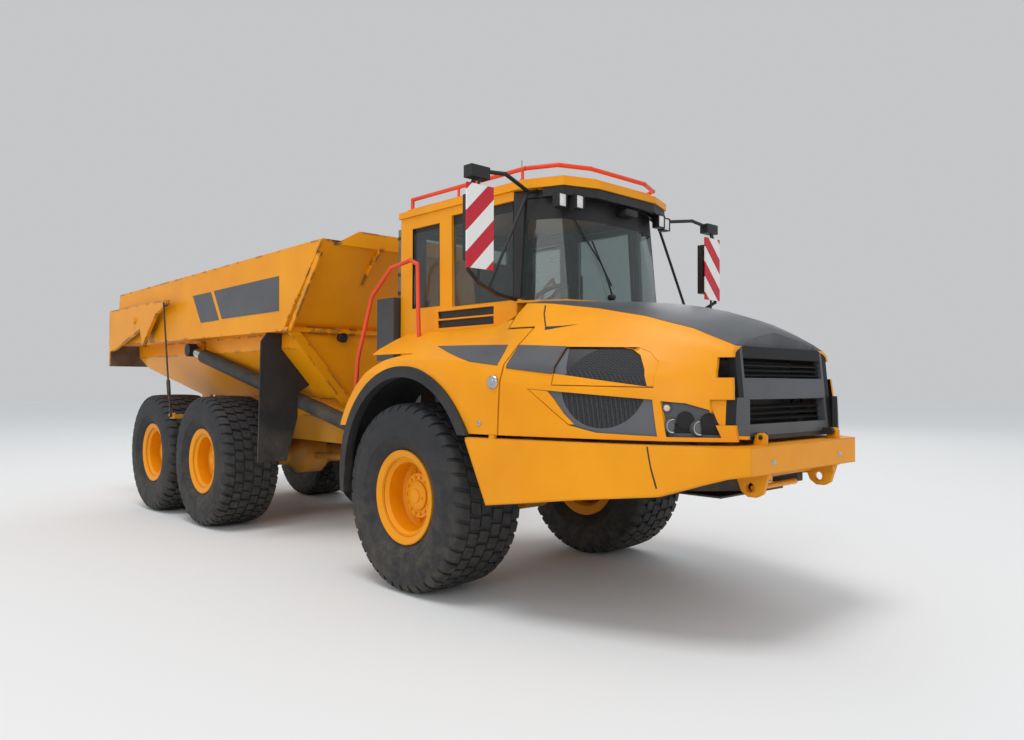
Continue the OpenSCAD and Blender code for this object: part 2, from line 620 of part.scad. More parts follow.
module muffler_box() color(dark) place() {
    translate([-1195, -900, 1960]) cube([285, 440, 610]);
    translate([-1120, -560, lug_z[1] + lug_t + seat]) cube([200, 180, 900]);
}
module left_steps() color(dark) place() {
    for (z = [760, 1040, 1320]) translate([884, 1130, z]) cube([330, 290, 30]);
    for (x = [880, 1200]) translate([x, 1120, 750]) cube([14, 300, 600]);
    translate([1205, 1150, 1180]) cube([25 - seat, 180, 120]);
}

// Hitch: steering pin, block and the journal that the rear frame rolls on
journal_l = 420;
module hitch_block() color(dark) place() {
    low = lug_z[0] + lug_t + 6;
    translate([hitch_x, 0, lug_z[0] - 20]) cylinder(h = lug_z[1] + lug_t - lug_z[0] + 40, r = steer_pin_r);
    along(hitch_x - 330, hitch_x - 40) polygon([[-130, low], [130, low], [150, hitch_z],
        [130, lug_z[1] - 6], [-130, lug_z[1] - 6], [-150, hitch_z]]);
    translate([hitch_x - 320 - journal_l, 0, hitch_z]) rotate([0, 90, 0]) cylinder(h = journal_l, r = roll_r);
    translate([hitch_x, 0, low]) cylinder(h = lug_z[1] - 6 - low, r = 110);
    // Plates that the steering cylinders' eyes sit between
    for (z = [-70, 40]) translate([0, 0, steer_z + z]) linear_extrude(30) polygon([[-1250, -130],
        [-1390, -370], [-1530, -370], [-1540, -130], [-1540, 130], [-1530, 370], [-1390, 370],
        [-1250, 130]]);
}
function steer_end(p, side) = [p[0], side * p[1], steer_z];
module steer_barrel(side) color(dark) place() {
    a = steer_end(steer_base, side);
    b = steer_end(steer_eye, side);
    u = (b - a) / norm(b - a);
    difference() {
        union() {
            rod(a + 30 * u, a + 95 * u, 38);
            rod(a + 85 * u, a + 720 * u, 55);
            translate(a - [0, 0, 40]) cylinder(h = 80, r = 60);
        }
        translate(a - [0, 0, 60]) cylinder(h = 120, r = 30 + fit);
        rod(a + 120 * u, a + 721 * u, 32 + fit);
    }
}
module steer_rod(side) color([0.7, 0.7, 0.72]) place() {
    a = steer_end(steer_base, side);
    b = steer_end(steer_eye, side);
    u = (b - a) / norm(b - a);
    rod(a + 400 * u, b - 40 * u, 32);
    translate(b - [0, 0, 35]) cylinder(h = 70, r = 50);
}

// Hoist cylinders: base on the frame, eye on the body, and the axis that the base turns on
hoist_base = [-2100, 590, 1270];
hoist_eye = [-5000, 1250, 2170];
tip_max = 74;
tipped_eye = [tip_x + (hoist_eye[0] - tip_x) * cos(tip_max) - (hoist_eye[2] - tip_z) * sin(tip_max),
    hoist_eye[1], tip_z + (hoist_eye[2] - tip_z) * cos(tip_max) + (hoist_eye[0] - tip_x) * sin(tip_max)];
hoist_n = cross(tipped_eye - hoist_base, hoist_eye - hoist_base);
hoist_axis = hoist_n / norm(hoist_n) * (hoist_n[1] > 0 ? 1 : -1);

// Rear frame: roll bearing, two beams, bogie pivot and body hinge ears
beam_y = 400;
bogie_x = (mid_x + rear_x) / 2;
wire_y = 1518;
wire_foot = [-4980, 1330];
tow_pin_x = -6700;
module rear_frame() color(yellow) place() {
    difference() {
        union() {
            translate([-2010, 0, hitch_z]) rotate([0, 90, 0]) cylinder(h = 440, r = roll_r + 70);
            translate([0, 0, 1040]) linear_extrude(300) polygon([[-1700, -150], [-1700, 150],
                [-2500, beam_y + 45], [-2500, -beam_y - 45]]);
            along(-2500, -1960) polygon([[-200, 760], [200, 760], [200, 1100], [-200, 1100]]);
        }
        translate([-2012, 0, hitch_z]) rotate([0, 90, 0]) cylinder(h = 460, r = roll_r + fit);
    }
    both() {
        across(beam_y - 45, beam_y + 45) polygon([[-2490, 1040], [-6560, 1060], [-6560, 1300],
            [-6500, 1340], [-2490, 1340]]);
        // Bogie pivot
        pin_y(bogie_x, 990, beam_y, 540 - seat, 90);
        // Arms that hold the tailgate wires
        translate([wire_foot[0] - 60, beam_y, wire_foot[1] - 50]) cube([110, 1090, 50]);
        across(1460, 1500) polygon([[wire_foot[0] - 60, wire_foot[1] - 50],
            [wire_foot[0] + 50, wire_foot[1] - 50], [wire_foot[0] + 20, wire_foot[1] + 25],
            [wire_foot[0] - 20, wire_foot[1] + 25]]);
        pin_y(wire_foot[0], wire_foot[1], 1490, 1534, 15);
        // Hoist cylinder base: shelf and slanted stub pin
        translate([-2240, 230, 1100]) cube([220, 370, 60]);
        rod(hoist_base - 160 * hoist_axis, hoist_base + 80 * hoist_axis, 40);
    }
    for (x = [-3300, -4950, -5700, -6450]) translate([x, -beam_y, 1100]) cube([100, 2 * beam_y, 160]);
    // Rear cross-member with its tow jaw and lamp housings
    translate([-6620, -beam_y - 45, 1060]) cube([61, 2 * beam_y + 90, 240]);
    difference() {
        translate([-6740, -90, 1080]) cube([121, 180, 140]);
        translate([-6741, -91, 1125]) cube([101, 182, 50]);
        translate([tow_pin_x, 0, 1070]) cylinder(h = 160, r = tow_pin_r);
    }
    both() {
        translate([-6610, beam_y, 1110]) cube([40, 380, 60]);
        translate([-6650, beam_y + 120, 1080]) cube([60, 260, 120]);
    }
    // Body hinge ears
    both() difference() {
        across(beam_y - 45, beam_y + 45) polygon([[tip_x - 140, 1300], [tip_x + 140, 1300],
            [tip_x + 70, tip_z + 60], [tip_x + 20, tip_z + 75], [tip_x - 20, tip_z + 75],
            [tip_x - 70, tip_z + 60]]);
        pin_y(tip_x, tip_z, 300, 500, tip_pin_r + fit);
    }
}
shaft_z = 850;
module bogie_beams() color(dark) place() both() difference() {
    across(540, 640) polygon([[rear_x - 180, 640], [rear_x + 180, 640], [bogie_x, 780],
        [mid_x - 180, 640], [mid_x + 180, 640], [mid_x + 180, 940], [bogie_x, 1100],
        [rear_x - 180, 940]]);
    for (x = [mid_x, rear_x]) pin_y(x, axle_z, 500, 700, 115 + seat);
}
module rear_axles() color(yellow) place() {
    for (x = [mid_x, rear_x]) axle(x);
    // Shafts between the two axles and ahead of them
    rod([mid_x - 200, 0, axle_z], [rear_x + 200, 0, axle_z], 45);
    rod([mid_x + 200, 0, axle_z], [-2502.5, 0, shaft_z], 45);
}
module mud_flaps() color(black) place() both() along(-2815, -2790) polygon([[1030, 870],
    [1370, 870], [1345, 2200], [1275, shelf_z - seat], [1102, shelf_z - seat], [1102, 2119],
    [edge_y(1720) + 2, 1720], [900, 1620], [900, 1350]]);

// Dump body: outlines of its outside and inside, (x, z) from the side and (y, z) from the front
shelf_z = 2300;
wall_dx = plate * 1.33;
side_out = [[-2400, 1570], [-2400, 2355], [-body_front, side_top + 100], [-7300, side_top - 40],
            [-7450, 2300], [-7400, 1970], [-6150, 1570]];
side_in = [[-2400 - plate, 1570 + plate], [-2400 - plate, 2355 + 12],
           [-body_front - wall_dx + 263, side_top + 400], [-8200, side_top + 400], [-8200, 2257],
           [-6145, 1570 + plate]];
v_out = [[-620, 1570], [620, 1570], [1100, 2120], [1100, shelf_z + 20], [-1100, shelf_z + 20],
         [-1100, 2120]];
v_in = [[-610, 1570 + plate], [610, 1570 + plate], [1070, 2130], [1070, shelf_z + 100],
        [-1070, shelf_z + 100], [-1070, 2130]];
// Half width of the trough's outside at height z
function edge_y(z) = 620 + (z - 1570) * 480 / 550;
function body_half(x) = body_half_f + (body_half_r - body_half_f) * (-x - body_front) / 5640;
module body_plan(t) polygon([[-800, -body_half(-800) + t], [-800, body_half(-800) - t],
    [-9000, body_half(-9000) - t], [-9000, -body_half(-9000) + t]]);
module body_solid() intersection() {
    across(-2000, 2000) polygon(rev(side_out));
    union() {
        along(-9000, 0) polygon(v_out);
        translate([0, 0, shelf_z]) linear_extrude(1500) body_plan(0);
    }
}
module body_room() intersection() {
    across(-2000, 2000) polygon(rev(side_in));
    union() {
        along(-9000, 0) polygon(v_in);
        translate([0, 0, shelf_z + plate]) linear_extrude(1500) body_plan(plate);
    }
}
function rev(p) = [for (i = [len(p) - 1 : -1 : 0]) p[i]];
module dump_body() color(yellow) place() {
    difference() {
        body_solid();
        body_room();
    }
    // Sill, sloping edge beams and foot of the front wall
    translate([-2401, -body_half(-2400), shelf_z - 5]) cube([61, 2 * body_half(-2400), 45]);
    both() along(-2401, -2345) polygon([[489, 1420], [edge_y(shelf_z), shelf_z], [edge_y(shelf_z) - 140, shelf_z],
        [349, 1420]]);
    along(-2400 - plate, -2399) polygon([[-489, 1420], [489, 1420], [620, 1571], [-620, 1571]]);
    // Corner ribs and gussets on the sloping wall
    both() {
        across(body_half_f - 22, body_half_f) polygon([[-2400, shelf_z - 5], [-2325, shelf_z - 5], [-1690, 3060], [-1790, 3060]]);
        across(560, 580) polygon([[-2110, 2700], [-1655, 3110], [-1655, 3170], [-1710, 3160]]);
    }
    // Spill guard over the cab side
    along(-body_front - 35, -body_front) polygon([[-1100, side_top + 60], [1100, side_top + 60],
        [810, 3325], [-810, 3325]]);
    both() {
        // Runners that rest on the frame beams, and the body hinge
        across(beam_y - 40, beam_y + 40) polygon([[-2430, 1340 + seat], [-2430, 1500],
            [-2430, 1571], [-6160, 1571], [-6230, 1340 + seat]]);
        across(beam_y + 51, beam_y + 91) polygon([[tip_x - 60, tip_z - 50], [tip_x + 60, tip_z - 50],
            [tip_x + 220, 1571], [tip_x - 60, 1640], [tip_x - 120, 1620]]);
        pin_y(tip_x, tip_z, beam_y - 60, beam_y + 91, tip_pin_r);
        // Tailgate pins
        pin_y(tip_x, gate_z, body_half(tip_x) - 20, 1530, 40);
        // Plates beside the hoist cylinders' eyes
        translate([hoist_eye[0] - 90, 1080, hoist_eye[2] - 90]) cube([180, 85, 200]);
        pin_y(hoist_eye[0], hoist_eye[2], 1160, hoist_eye[1] - 60 - seat, 40);
    }
}
gate_front = [-5260, 2800];
module tailgate() color(yellow) place() {
    both() difference() {
        across(1460, 1505) polygon([[-5200, 2830], [-5200, 2770], [-5320, 2740], [-5600, 2660],
            [-5900, 2420], [-6080, 2240], [-6200, 2480], [-7300, 2230], [-7540, 2210], [-7540, 2830]]);
        pin_y(tip_x, gate_z, 1400, 1600, 40 + fit);
    }
    translate([-tail_reach, -1505, 1990]) cube([60, 3010, 840]);
}
module gate_wires() color(dark) place() both() difference() {
    union() {
        rod([wire_foot[0] - 4, wire_y, wire_foot[1] + 22], [gate_front[0], wire_y, gate_front[1]], 11);
        pin_y(wire_foot[0], wire_foot[1], wire_y - 12, wire_y + 12, 30);
    }
    pin_y(wire_foot[0], wire_foot[1], wire_y - 20, wire_y + 20, 15 + fit);
}

module hoist_barrel(side) color(dark) place() mirror([0, side < 0 ? 1 : 0, 0]) {
    u = (hoist_eye - hoist_base) / norm(hoist_eye - hoist_base);
    difference() {
        union() {
            rod(hoist_base + 50 * u, hoist_base + 2820 * u, 88);
            translate(hoist_base) sphere(95);
        }
        rod(hoist_base + 300 * u, hoist_base + 2821 * u, 55 + fit);
        rod(hoist_base - 110 * hoist_axis, hoist_base + 110 * hoist_axis, 40 + fit);
    }
}
module hoist_rod(side) color([0.7, 0.7, 0.72]) place() mirror([0, side < 0 ? 1 : 0, 0]) {
    u = (hoist_eye - hoist_base) / norm(hoist_eye - hoist_base);
    rod(hoist_base + 320 * u, hoist_eye - 130 * u, 55);
    rod(hoist_eye - 140 * u, hoist_eye - 30 * u, 34);
    pin_y(hoist_eye[0], hoist_eye[2], hoist_eye[1] - 54, hoist_eye[1] + 54, 85);
}

front_frame();
engine_block();
radiators();
front_axle();
bumper();
fenders();
arch_flares();
cab_shell();
cab_roof();
cab_glass();
cab_interior();
roof_lights();
roof_rail();
handrails();
mirror_arms();
warning_boards();
exhaust_stack();
muffler_box();
left_steps();
hood();
hood_cap();
front_grille();
side_grilles();
headlamps();
radiator_fan();
cab_door();
door_glass();
hitch_block();
steer_barrel(1);  // steer_barrel_l
steer_barrel(-1);  // steer_barrel_r
steer_rod(1);  // steer_rod_l
steer_rod(-1);  // steer_rod_r
rear_frame();
bogie_beams();
rear_axles();
mud_flaps();
dump_body();
tailgate();
gate_wires();
hoist_barrel(1);  // hoist_barrel_l
hoist_barrel(-1);  // hoist_barrel_r
hoist_rod(1);  // hoist_rod_l
hoist_rod(-1);  // hoist_rod_r
tyre(0, 1);  // tyre_fl
tyre(0, -1);  // tyre_fr
tyre(mid_x, 1);  // tyre_ml
tyre(mid_x, -1);  // tyre_mr
tyre(rear_x, 1);  // tyre_rl
tyre(rear_x, -1);  // tyre_rr
rim(0, 1);  // rim_fl
rim(0, -1);  // rim_fr
rim(mid_x, 1);  // rim_ml
rim(mid_x, -1);  // rim_mr
rim(rear_x, 1);  // rim_rl
rim(rear_x, -1);  // rim_rr
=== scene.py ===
# %% [markdown]
# # An articulated dump truck
#
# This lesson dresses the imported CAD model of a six-wheel hauler.
# The solids already have the right shapes and sizes, so Blender adds what CAD doesn't:
# finishes, small fasteners, glass, meshes and the light that shows them.
# Every length is in metres. X points to the nose, Y to the truck's left, Z up.

# %% Load the truck
import json
import math
from functools import partial

import bmesh
import bpy
from mathutils import Matrix, Vector
from mathutils.bvhtree import BVHTree


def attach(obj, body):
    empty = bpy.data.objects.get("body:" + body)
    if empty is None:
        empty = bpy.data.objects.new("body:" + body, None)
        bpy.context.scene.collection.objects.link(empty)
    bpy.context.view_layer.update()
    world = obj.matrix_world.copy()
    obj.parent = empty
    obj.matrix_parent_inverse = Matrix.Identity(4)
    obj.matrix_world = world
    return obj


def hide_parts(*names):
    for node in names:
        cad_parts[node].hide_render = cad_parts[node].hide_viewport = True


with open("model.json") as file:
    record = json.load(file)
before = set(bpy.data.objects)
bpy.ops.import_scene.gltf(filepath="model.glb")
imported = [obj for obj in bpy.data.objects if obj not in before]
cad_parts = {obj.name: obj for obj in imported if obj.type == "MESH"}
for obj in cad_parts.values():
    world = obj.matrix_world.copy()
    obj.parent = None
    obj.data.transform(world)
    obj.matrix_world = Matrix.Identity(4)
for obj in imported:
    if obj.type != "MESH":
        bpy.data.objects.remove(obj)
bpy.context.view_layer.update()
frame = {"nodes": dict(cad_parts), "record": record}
nodes = frame["nodes"]

# %% [markdown]
# ## Camera
#
# The picture was taken at eye height, from ahead of the right front wheel.
# A camera can be placed by eye, or solved from known lengths in the picture.
# Here it was solved, so its place, turn and focal length are plain numbers.

# %% Place the camera
FRONT_AXLE_X = 2.36
CAMERA_PLACE = Vector((FRONT_AXLE_X + 5.420, -5.301, 1.732))
CAMERA_YAW = 2.385
CAMERA_PITCH = math.radians(1.05)
CAMERA_ROLL = math.radians(0.17)
FOCAL_PIXELS = 790.3
PICTURE_WIDTH = 1024
SENSOR_WIDTH = 36.0

camera_data = bpy.data.cameras.new("picture_camera")
camera_data.sensor_width = SENSOR_WIDTH
camera_data.lens = FOCAL_PIXELS / PICTURE_WIDTH * SENSOR_WIDTH
camera_data.clip_end = 500.0
camera = bpy.data.objects.new("picture_camera", camera_data)
bpy.context.collection.objects.link(camera)
QUARTER = math.pi / 2
camera.matrix_world = (
    Matrix.Translation(CAMERA_PLACE) @ Matrix.Rotation(CAMERA_YAW - QUARTER, 4, "Z")
    @ Matrix.Rotation(CAMERA_PITCH + QUARTER, 4, "X") @ Matrix.Rotation(CAMERA_ROLL, 4, "Z"))
bpy.context.scene.camera = camera
print("lens", round(camera_data.lens, 2), "mm")

# %% [markdown]
# ## Floor
#
# The wheels need something to stand on, and a plain pale floor shows the truck's own colours.
# It could be a shadow catcher, but a real floor also sends light back up under the body.

# %% Lay the floor
FLOOR_HALF = 80.0
FLOOR_GREY = (0.80, 0.80, 0.79, 1.0)


def feed(tree, node, inputs):
    """Sets a node's inputs. A socket of another node is linked, any other value is written."""
    for label, value in inputs.items():
        if isinstance(value, bpy.types.NodeSocket):
            tree.links.new(value, node.inputs[label])
        else:
            node.inputs[label].default_value = value


def add_node(tree, kind, inputs, **settings):
    """A shader node of some kind with its settings and its inputs."""
    node = tree.nodes.new("ShaderNode" + kind)
    for label, value in settings.items():
        setattr(node, label, value)
    feed(tree, node, inputs)
    return node


def new_material(name, inputs):
    """A material whose tree is only its output and a Principled shader with some inputs set."""
    material = bpy.data.materials.new(name)
    material.use_nodes = True
    tree = material.node_tree
    tree.nodes.clear()
    output = tree.nodes.new("ShaderNodeOutputMaterial")
    shader = add_node(tree, "BsdfPrincipled", inputs)
    tree.links.new(shader.outputs["BSDF"], output.inputs["Surface"])
    return material, tree, shader


def object_from_bmesh(name, bm):
    """Turns a bmesh into an object at the origin and frees the bmesh."""
    mesh = bpy.data.meshes.new(name)
    bm.to_mesh(mesh)
    bm.free()
    piece = bpy.data.objects.new(name, mesh)
    bpy.context.collection.objects.link(piece)
    return piece


floor_mesh = bmesh.new()
bmesh.ops.create_grid(floor_mesh, x_segments=1, y_segments=1, size=FLOOR_HALF)
floor = object_from_bmesh("floor", floor_mesh)
floor.data.materials.append(new_material("pale_floor", {"Base Color": FLOOR_GREY, "Roughness": 0.9})[0])
print("floor", 2 * FLOOR_HALF, "m wide")

# %% [markdown]
# ### Light
#
# Soft light comes from all around, with a little more from above. An image of the light could
# be wrapped round the world, but a plain colour with area lamps is easier to steer, and keeps
# each finish near its written colour. The camera and clear glass see another colour there.

# %% Light the truck
SKY_COLOUR = (0.93, 0.96, 1.0, 1.0)
SKY_STRENGTH = 0.72
BACKDROP_GREY = (0.555, 0.565, 0.58, 1.0)

world = bpy.data.worlds.new("overcast")
bpy.context.scene.world = world
world.use_nodes = True
sky = world.node_tree
sky.nodes.clear()
sky_light = add_node(sky, "Background", {"Color": SKY_COLOUR, "Strength": SKY_STRENGTH})
sky_seen = add_node(sky, "Background", {"Color": BACKDROP_GREY, "Strength": 1.0})
ray = sky.nodes.new("ShaderNodeLightPath").outputs
seen = add_node(sky, "Math", {0: ray["Is Camera Ray"], 1: ray["Is Transmission Ray"]}, operation="MAXIMUM")
sky_mix = add_node(sky, "MixShader", {"Fac": seen.outputs[0], 1: sky_light.outputs[0], 2: sky_seen.outputs[0]})
add_node(sky, "OutputWorld", {"Surface": sky_mix.outputs[0]})

# Each lamp's place, target, width and power: one large lamp overhead, and two weaker ones
# on the camera's side and behind, which open the shadows
LAMPS = {
    "sky_lamp": ((4.0, -8.0, 26.0), (0.0, 0.0, 1.0), 10.0, 2600.0),
    "side_lamp": ((18.0, -28.0, 14.0), (0.5, 0.0, 1.5), 12.0, 1500.0),
    "far_lamp": ((-12.0, 18.0, 14.0), (0.0, 0.0, 1.5), 12.0, 700.0),
}
for name, (place, target, size, power) in LAMPS.items():
    data = bpy.data.lights.new(name, "AREA")
    data.shape, data.size, data.energy = "SQUARE", size, power
    lamp = bpy.data.objects.new(name, data)
    bpy.context.collection.objects.link(lamp)
    aim = (Vector(target) - Vector(place)).to_track_quat("-Z", "Y")
    lamp.matrix_world = Matrix.Translation(place) @ aim.to_matrix().to_4x4()
    print(name, power, "W")

# %% [markdown]
# ## Finishes
#
# Every working surface on a hauler carries dust: more of it low down, less on the cab.
# One node group makes that dust as a mask, and a second makes the slow change of tone that
# old paint has. Both read Object coordinates. Because every piece sits at the origin, these
# are simply metres on the truck, so the pattern runs on from one piece to the next.

# %% Colours as they are written
def colour(code):
    """A web colour, such as E69A00, as linear red, green, blue and alpha."""
    parts = [int(code[i : i + 2], 16) / 255.0 for i in (0, 2, 4)]
    return tuple(c / 12.92 if c <= 0.04045 else ((c + 0.055) / 1.055) ** 2.4 for c in parts) + (1.0,)


print("E69A00 is", [round(c, 3) for c in colour("E69A00")])


# %% [markdown]
# ### Dust and old paint
#
# Dust lies thick on the axles and thin on the cab, in blotches with a fine speckle. It could
# be painted on a texture, but then every piece would have to be unwrapped. A mask made of
# noise and height needs neither, and one group serves all the finishes.

# %% Build the dust and tone groups
def start_group(name, inputs, outputs):
    """A shader node group with float inputs {name: value} and float outputs."""
    group = bpy.data.node_groups.new(name, "ShaderNodeTree")
    for label, value in inputs.items():
        socket = group.interface.new_socket(label, in_out="INPUT", socket_type="NodeSocketFloat")
        socket.default_value = value
    for label in outputs:
        group.interface.new_socket(label, in_out="OUTPUT", socket_type="NodeSocketFloat")
    return group, group.nodes.new("NodeGroupInput"), group.nodes.new("NodeGroupOutput")


def math_node(tree, operation, *values, clamp=False):
    """A Math node's value."""
    return add_node(tree, "Math", dict(enumerate(values)), operation=operation, use_clamp=clamp).outputs[0]


def noise_node(tree, vector, scale, detail=4.0, roughness=0.55):
    """A Noise texture's value."""
    inputs = {"Vector": vector, "Scale": scale, "Detail": detail, "Roughness": roughness}
    return add_node(tree, "TexNoise", inputs).outputs[0]


def range_node(tree, value, low, high, to_low=0.0, to_high=1.0):
    """A Map Range node from low..high to to_low..to_high, held at its ends."""
    inputs = {"Value": value, "From Min": low, "From Max": high, "To Min": to_low, "To Max": to_high}
    return add_node(tree, "MapRange", inputs, clamp=True).outputs["Result"]


def place_nodes(tree):
    """The place on the truck, whole and as its X, Y and Z."""
    place = tree.nodes.new("ShaderNodeTexCoord").outputs["Object"]
    return [place, *add_node(tree, "SeparateXYZ", {0: place}).outputs]


dust_group, dust_in, dust_out = start_group(
    "settled_dust", {"Amount": 0.5, "Clean Height": 2.4, "Scale": 3.0}, ["Mask"]
)
dust_place, _, _, dust_height = place_nodes(dust_group)
low_down = range_node(dust_group, dust_height, dust_in.outputs["Clean Height"], 0.2, 0.12, 1.0)
blotches = noise_node(dust_group, dust_place, dust_in.outputs["Scale"], detail=6.0, roughness=0.62)
blotches = range_node(dust_group, blotches, 0.38, 0.68)
speckle = range_node(dust_group, noise_node(dust_group, dust_place, 46.0, detail=3.0), 0.4, 0.7, 0.55, 1.0)
dust_mask = math_node(dust_group, "MULTIPLY", math_node(dust_group, "MULTIPLY", low_down, blotches), speckle)
dust_mask = math_node(dust_group, "MULTIPLY", dust_mask, dust_in.outputs["Amount"], clamp=True)
dust_group.links.new(dust_mask, dust_out.inputs["Mask"])

tone_group, tone_in, tone_out = start_group("old_paint_tone", {"Scale": 1.5}, ["Tone", "Grain"])
tone_place = tone_group.nodes.new("ShaderNodeTexCoord").outputs["Object"]
tone = range_node(tone_group, noise_node(tone_group, tone_place, tone_in.outputs["Scale"]), 0.3, 0.7)
tone_group.links.new(tone, tone_out.inputs["Tone"])
grain = noise_node(tone_group, tone_place, 320.0, detail=2.0)
tone_group.links.new(grain, tone_out.inputs["Grain"])
print("groups", [g.name for g in bpy.data.node_groups])

# %% [markdown]
# ### Paint, rubber, plastic and steel
#
# Each finish mixes two close tones of a colour, then dust over both. The edges of a real
# casting or sheet are never quite sharp, so a Bevel node rounds them in the shading. A real
# bevel on every solid would cost many faces and show no more from a step away.

# %% Build one finish after another
DUST_COLOUR = colour("8C8068")


def place_group(tree, group, **values):
    """Puts a node group in a material with its own input values."""
    inputs = {label.replace("_", " "): value for label, value in values.items()}
    return add_node(tree, "Group", inputs, node_tree=group)


def mix_colour(tree, factor, first, second):
    """A mix of two colours."""
    return add_node(tree, "Mix", {"Factor": factor, 6: first, 7: second}, data_type="RGBA").outputs[2]


def rounded_normal(tree, reach):
    """The normal of a surface whose edges are rounded off."""
    return add_node(tree, "Bevel", {"Radius": reach}, samples=4).outputs["Normal"]


def relief_normal(tree, height, strength, distance, **inputs):
    """The normal of a bumpy surface."""
    inputs.update({"Height": height, "Strength": strength, "Distance": distance})
    return add_node(tree, "Bump", inputs).outputs["Normal"]


def worn_finish(name, light, dark, roughness, metallic=0.0, dust=0.5, clean_height=2.4,
                tone_scale=1.5, dust_scale=3.0, bump=0.02, gloss=0.5, edge=0.006):
    """A finish that runs between two close tones, with grain and settled dust."""
    material, tree, shader = new_material(name, {"Metallic": metallic, "Specular IOR Level": gloss})
    tone_node = place_group(tree, tone_group, Scale=tone_scale)
    dust_node = place_group(tree, dust_group, Amount=dust, Clean_Height=clean_height, Scale=dust_scale)
    clean = mix_colour(tree, tone_node.outputs["Tone"], colour(dark), colour(light))
    feed(tree, shader, {
        "Base Color": mix_colour(tree, dust_node.outputs["Mask"], clean, DUST_COLOUR),
        "Roughness": range_node(tree, dust_node.outputs["Mask"], 0.0, 0.6, roughness, 0.85),
        "Normal": relief_normal(tree, tone_node.outputs["Grain"], bump, 0.002, Normal=rounded_normal(tree, edge))})
    return material


YELLOW = dict(light="F4A000", dark="E99300", roughness=0.40, dust=0.06, clean_height=1.8, gloss=0.28)
yellow_paint = worn_finish("yellow_paint", **YELLOW)
bumper_paint = worn_finish("bumper_paint", edge=0.03, **YELLOW)
body_paint = worn_finish("body_paint", **YELLOW)
yellow_chassis = worn_finish("yellow_chassis_paint", "DE9405", "B87908", 0.5, dust=0.85, clean_height=2.6)
dark_paint = worn_finish("dark_grey_paint", "56585B", "4A4C4F", 0.42, dust=0.2, clean_height=1.8, gloss=0.4)
frame_paint = worn_finish("dark_frame_paint", "3A3A3A", "2A2A2B", 0.6, dust=0.8, clean_height=2.4)
steel_box = worn_finish("steel_box_paint", "45474A", "393B3E", 0.5, dust=0.2)
# Black plastic, which also serves as painted shade in the air slots, the groove under the cab and the hood's inside
black_plastic = worn_finish("black_plastic", "1E1E20", "161617", 0.55, dust=0.3, bump=0.08)
rubber = worn_finish("arch_rubber", "26272A", "1B1C1E", 0.68, dust=0.55, clean_height=1.6, bump=0.1)
tyre_rubber = worn_finish("tyre_rubber", "26272B", "1D1E21", 0.70, dust=0.30, clean_height=1.4,
                          dust_scale=9.0, bump=0.25)
orange_paint = worn_finish("orange_rail_paint", "EC4A1C", "D83F16", 0.35, dust=0.1)
exhaust_steel = worn_finish("exhaust_steel", "8F877A", "6F675C", 0.55, metallic=0.6, dust=0.3, tone_scale=6.0)
wire_steel = worn_finish("wire_steel", "55514C", "37342F", 0.55, metallic=0.7, dust=0.4, tone_scale=20.0)
rod_chrome = worn_finish("rod_chrome", "C9CBCE", "B8BABD", 0.15, metallic=1.0, dust=0.2, bump=0.0)


def chip_edges(material, reach, under):
    """Paint that is rubbed off along sharp edges, in broken patches."""
    tree = material.node_tree
    shader = next(node for node in tree.nodes if node.type == "BSDF_PRINCIPLED")
    paint = shader.inputs["Base Color"].links[0].from_socket
    geometry = tree.nodes.new("ShaderNodeNewGeometry")
    facing = add_node(tree, "VectorMath",
                      {0: rounded_normal(tree, reach), 1: geometry.outputs["True Normal"]}, operation="DOT_PRODUCT")
    edge = range_node(tree, facing.outputs["Value"], 0.995, 0.90)
    patches = range_node(tree, place_group(tree, tone_group, Scale=5.0).outputs["Tone"], 0.50, 0.62)
    worn = math_node(tree, "MULTIPLY", edge, patches)
    feed(tree, shader, {"Base Color": mix_colour(tree, worn, paint, colour(under))})


chip_edges(body_paint, 0.05, "5A4632")


def clear_glass(name, tint):
    """Thin tinted glass."""
    return new_material(name, {"Base Color": colour(tint), "Roughness": 0.03, "Transmission Weight": 0.94,
                               "IOR": 1.3})[0]


cab_glass = clear_glass("cab_glass", "B4C0BE")
print("finishes", [m.name for m in bpy.data.materials])

# %% [markdown]
# ### The fan's mesh
#
# Behind the hood's side openings a round black mesh lets the fan draw its air. The plastic
# round it is dark grey. Cutting thousands of holes would cost too much, so the finish draws
# them: a circle about the fan's shaft picks the mesh, and cells of a Voronoi texture are its holes.
# The holes are painted near-black, as painted shade of the space behind the mesh.

# %% Draw the mesh round the fan
FAN_PLACE = (1.92, 1.722)
FAN_MESH_RADIUS = 0.287
BAND_END = (1.571, 2.003)
BAND_SLOPE = 0.443
UPPER_OPENING = 1.70
MESH_CELLS = 85.0

fan_mesh, tree, shader = new_material("fan_mesh", {})
calc = partial(math_node, tree)
place, x, _, z = place_nodes(tree)
along = calc("SUBTRACT", x, FRONT_AXLE_X + FAN_PLACE[0])
up = calc("SUBTRACT", z, FAN_PLACE[1])
squares = calc("ADD", calc("MULTIPLY", along, along), calc("MULTIPLY", up, up))
inside = calc("LESS_THAN", squares, FAN_MESH_RADIUS ** 2)
cells = add_node(tree, "TexVoronoi", {"Vector": place, "Scale": MESH_CELLS, "Randomness": 0.15},
                 feature="DISTANCE_TO_EDGE")
hole = range_node(tree, cells.outputs["Distance"], 0.10, 0.18)
# The holes are painted near-black: painted shade behind the mesh
mesh = mix_colour(tree, hole, colour("37383B"), colour("060607"))
tone_node = place_group(tree, tone_group, Scale=2.0)
plastic = mix_colour(tree, tone_node.outputs["Tone"], colour("515357"), colour("5B5D61"))
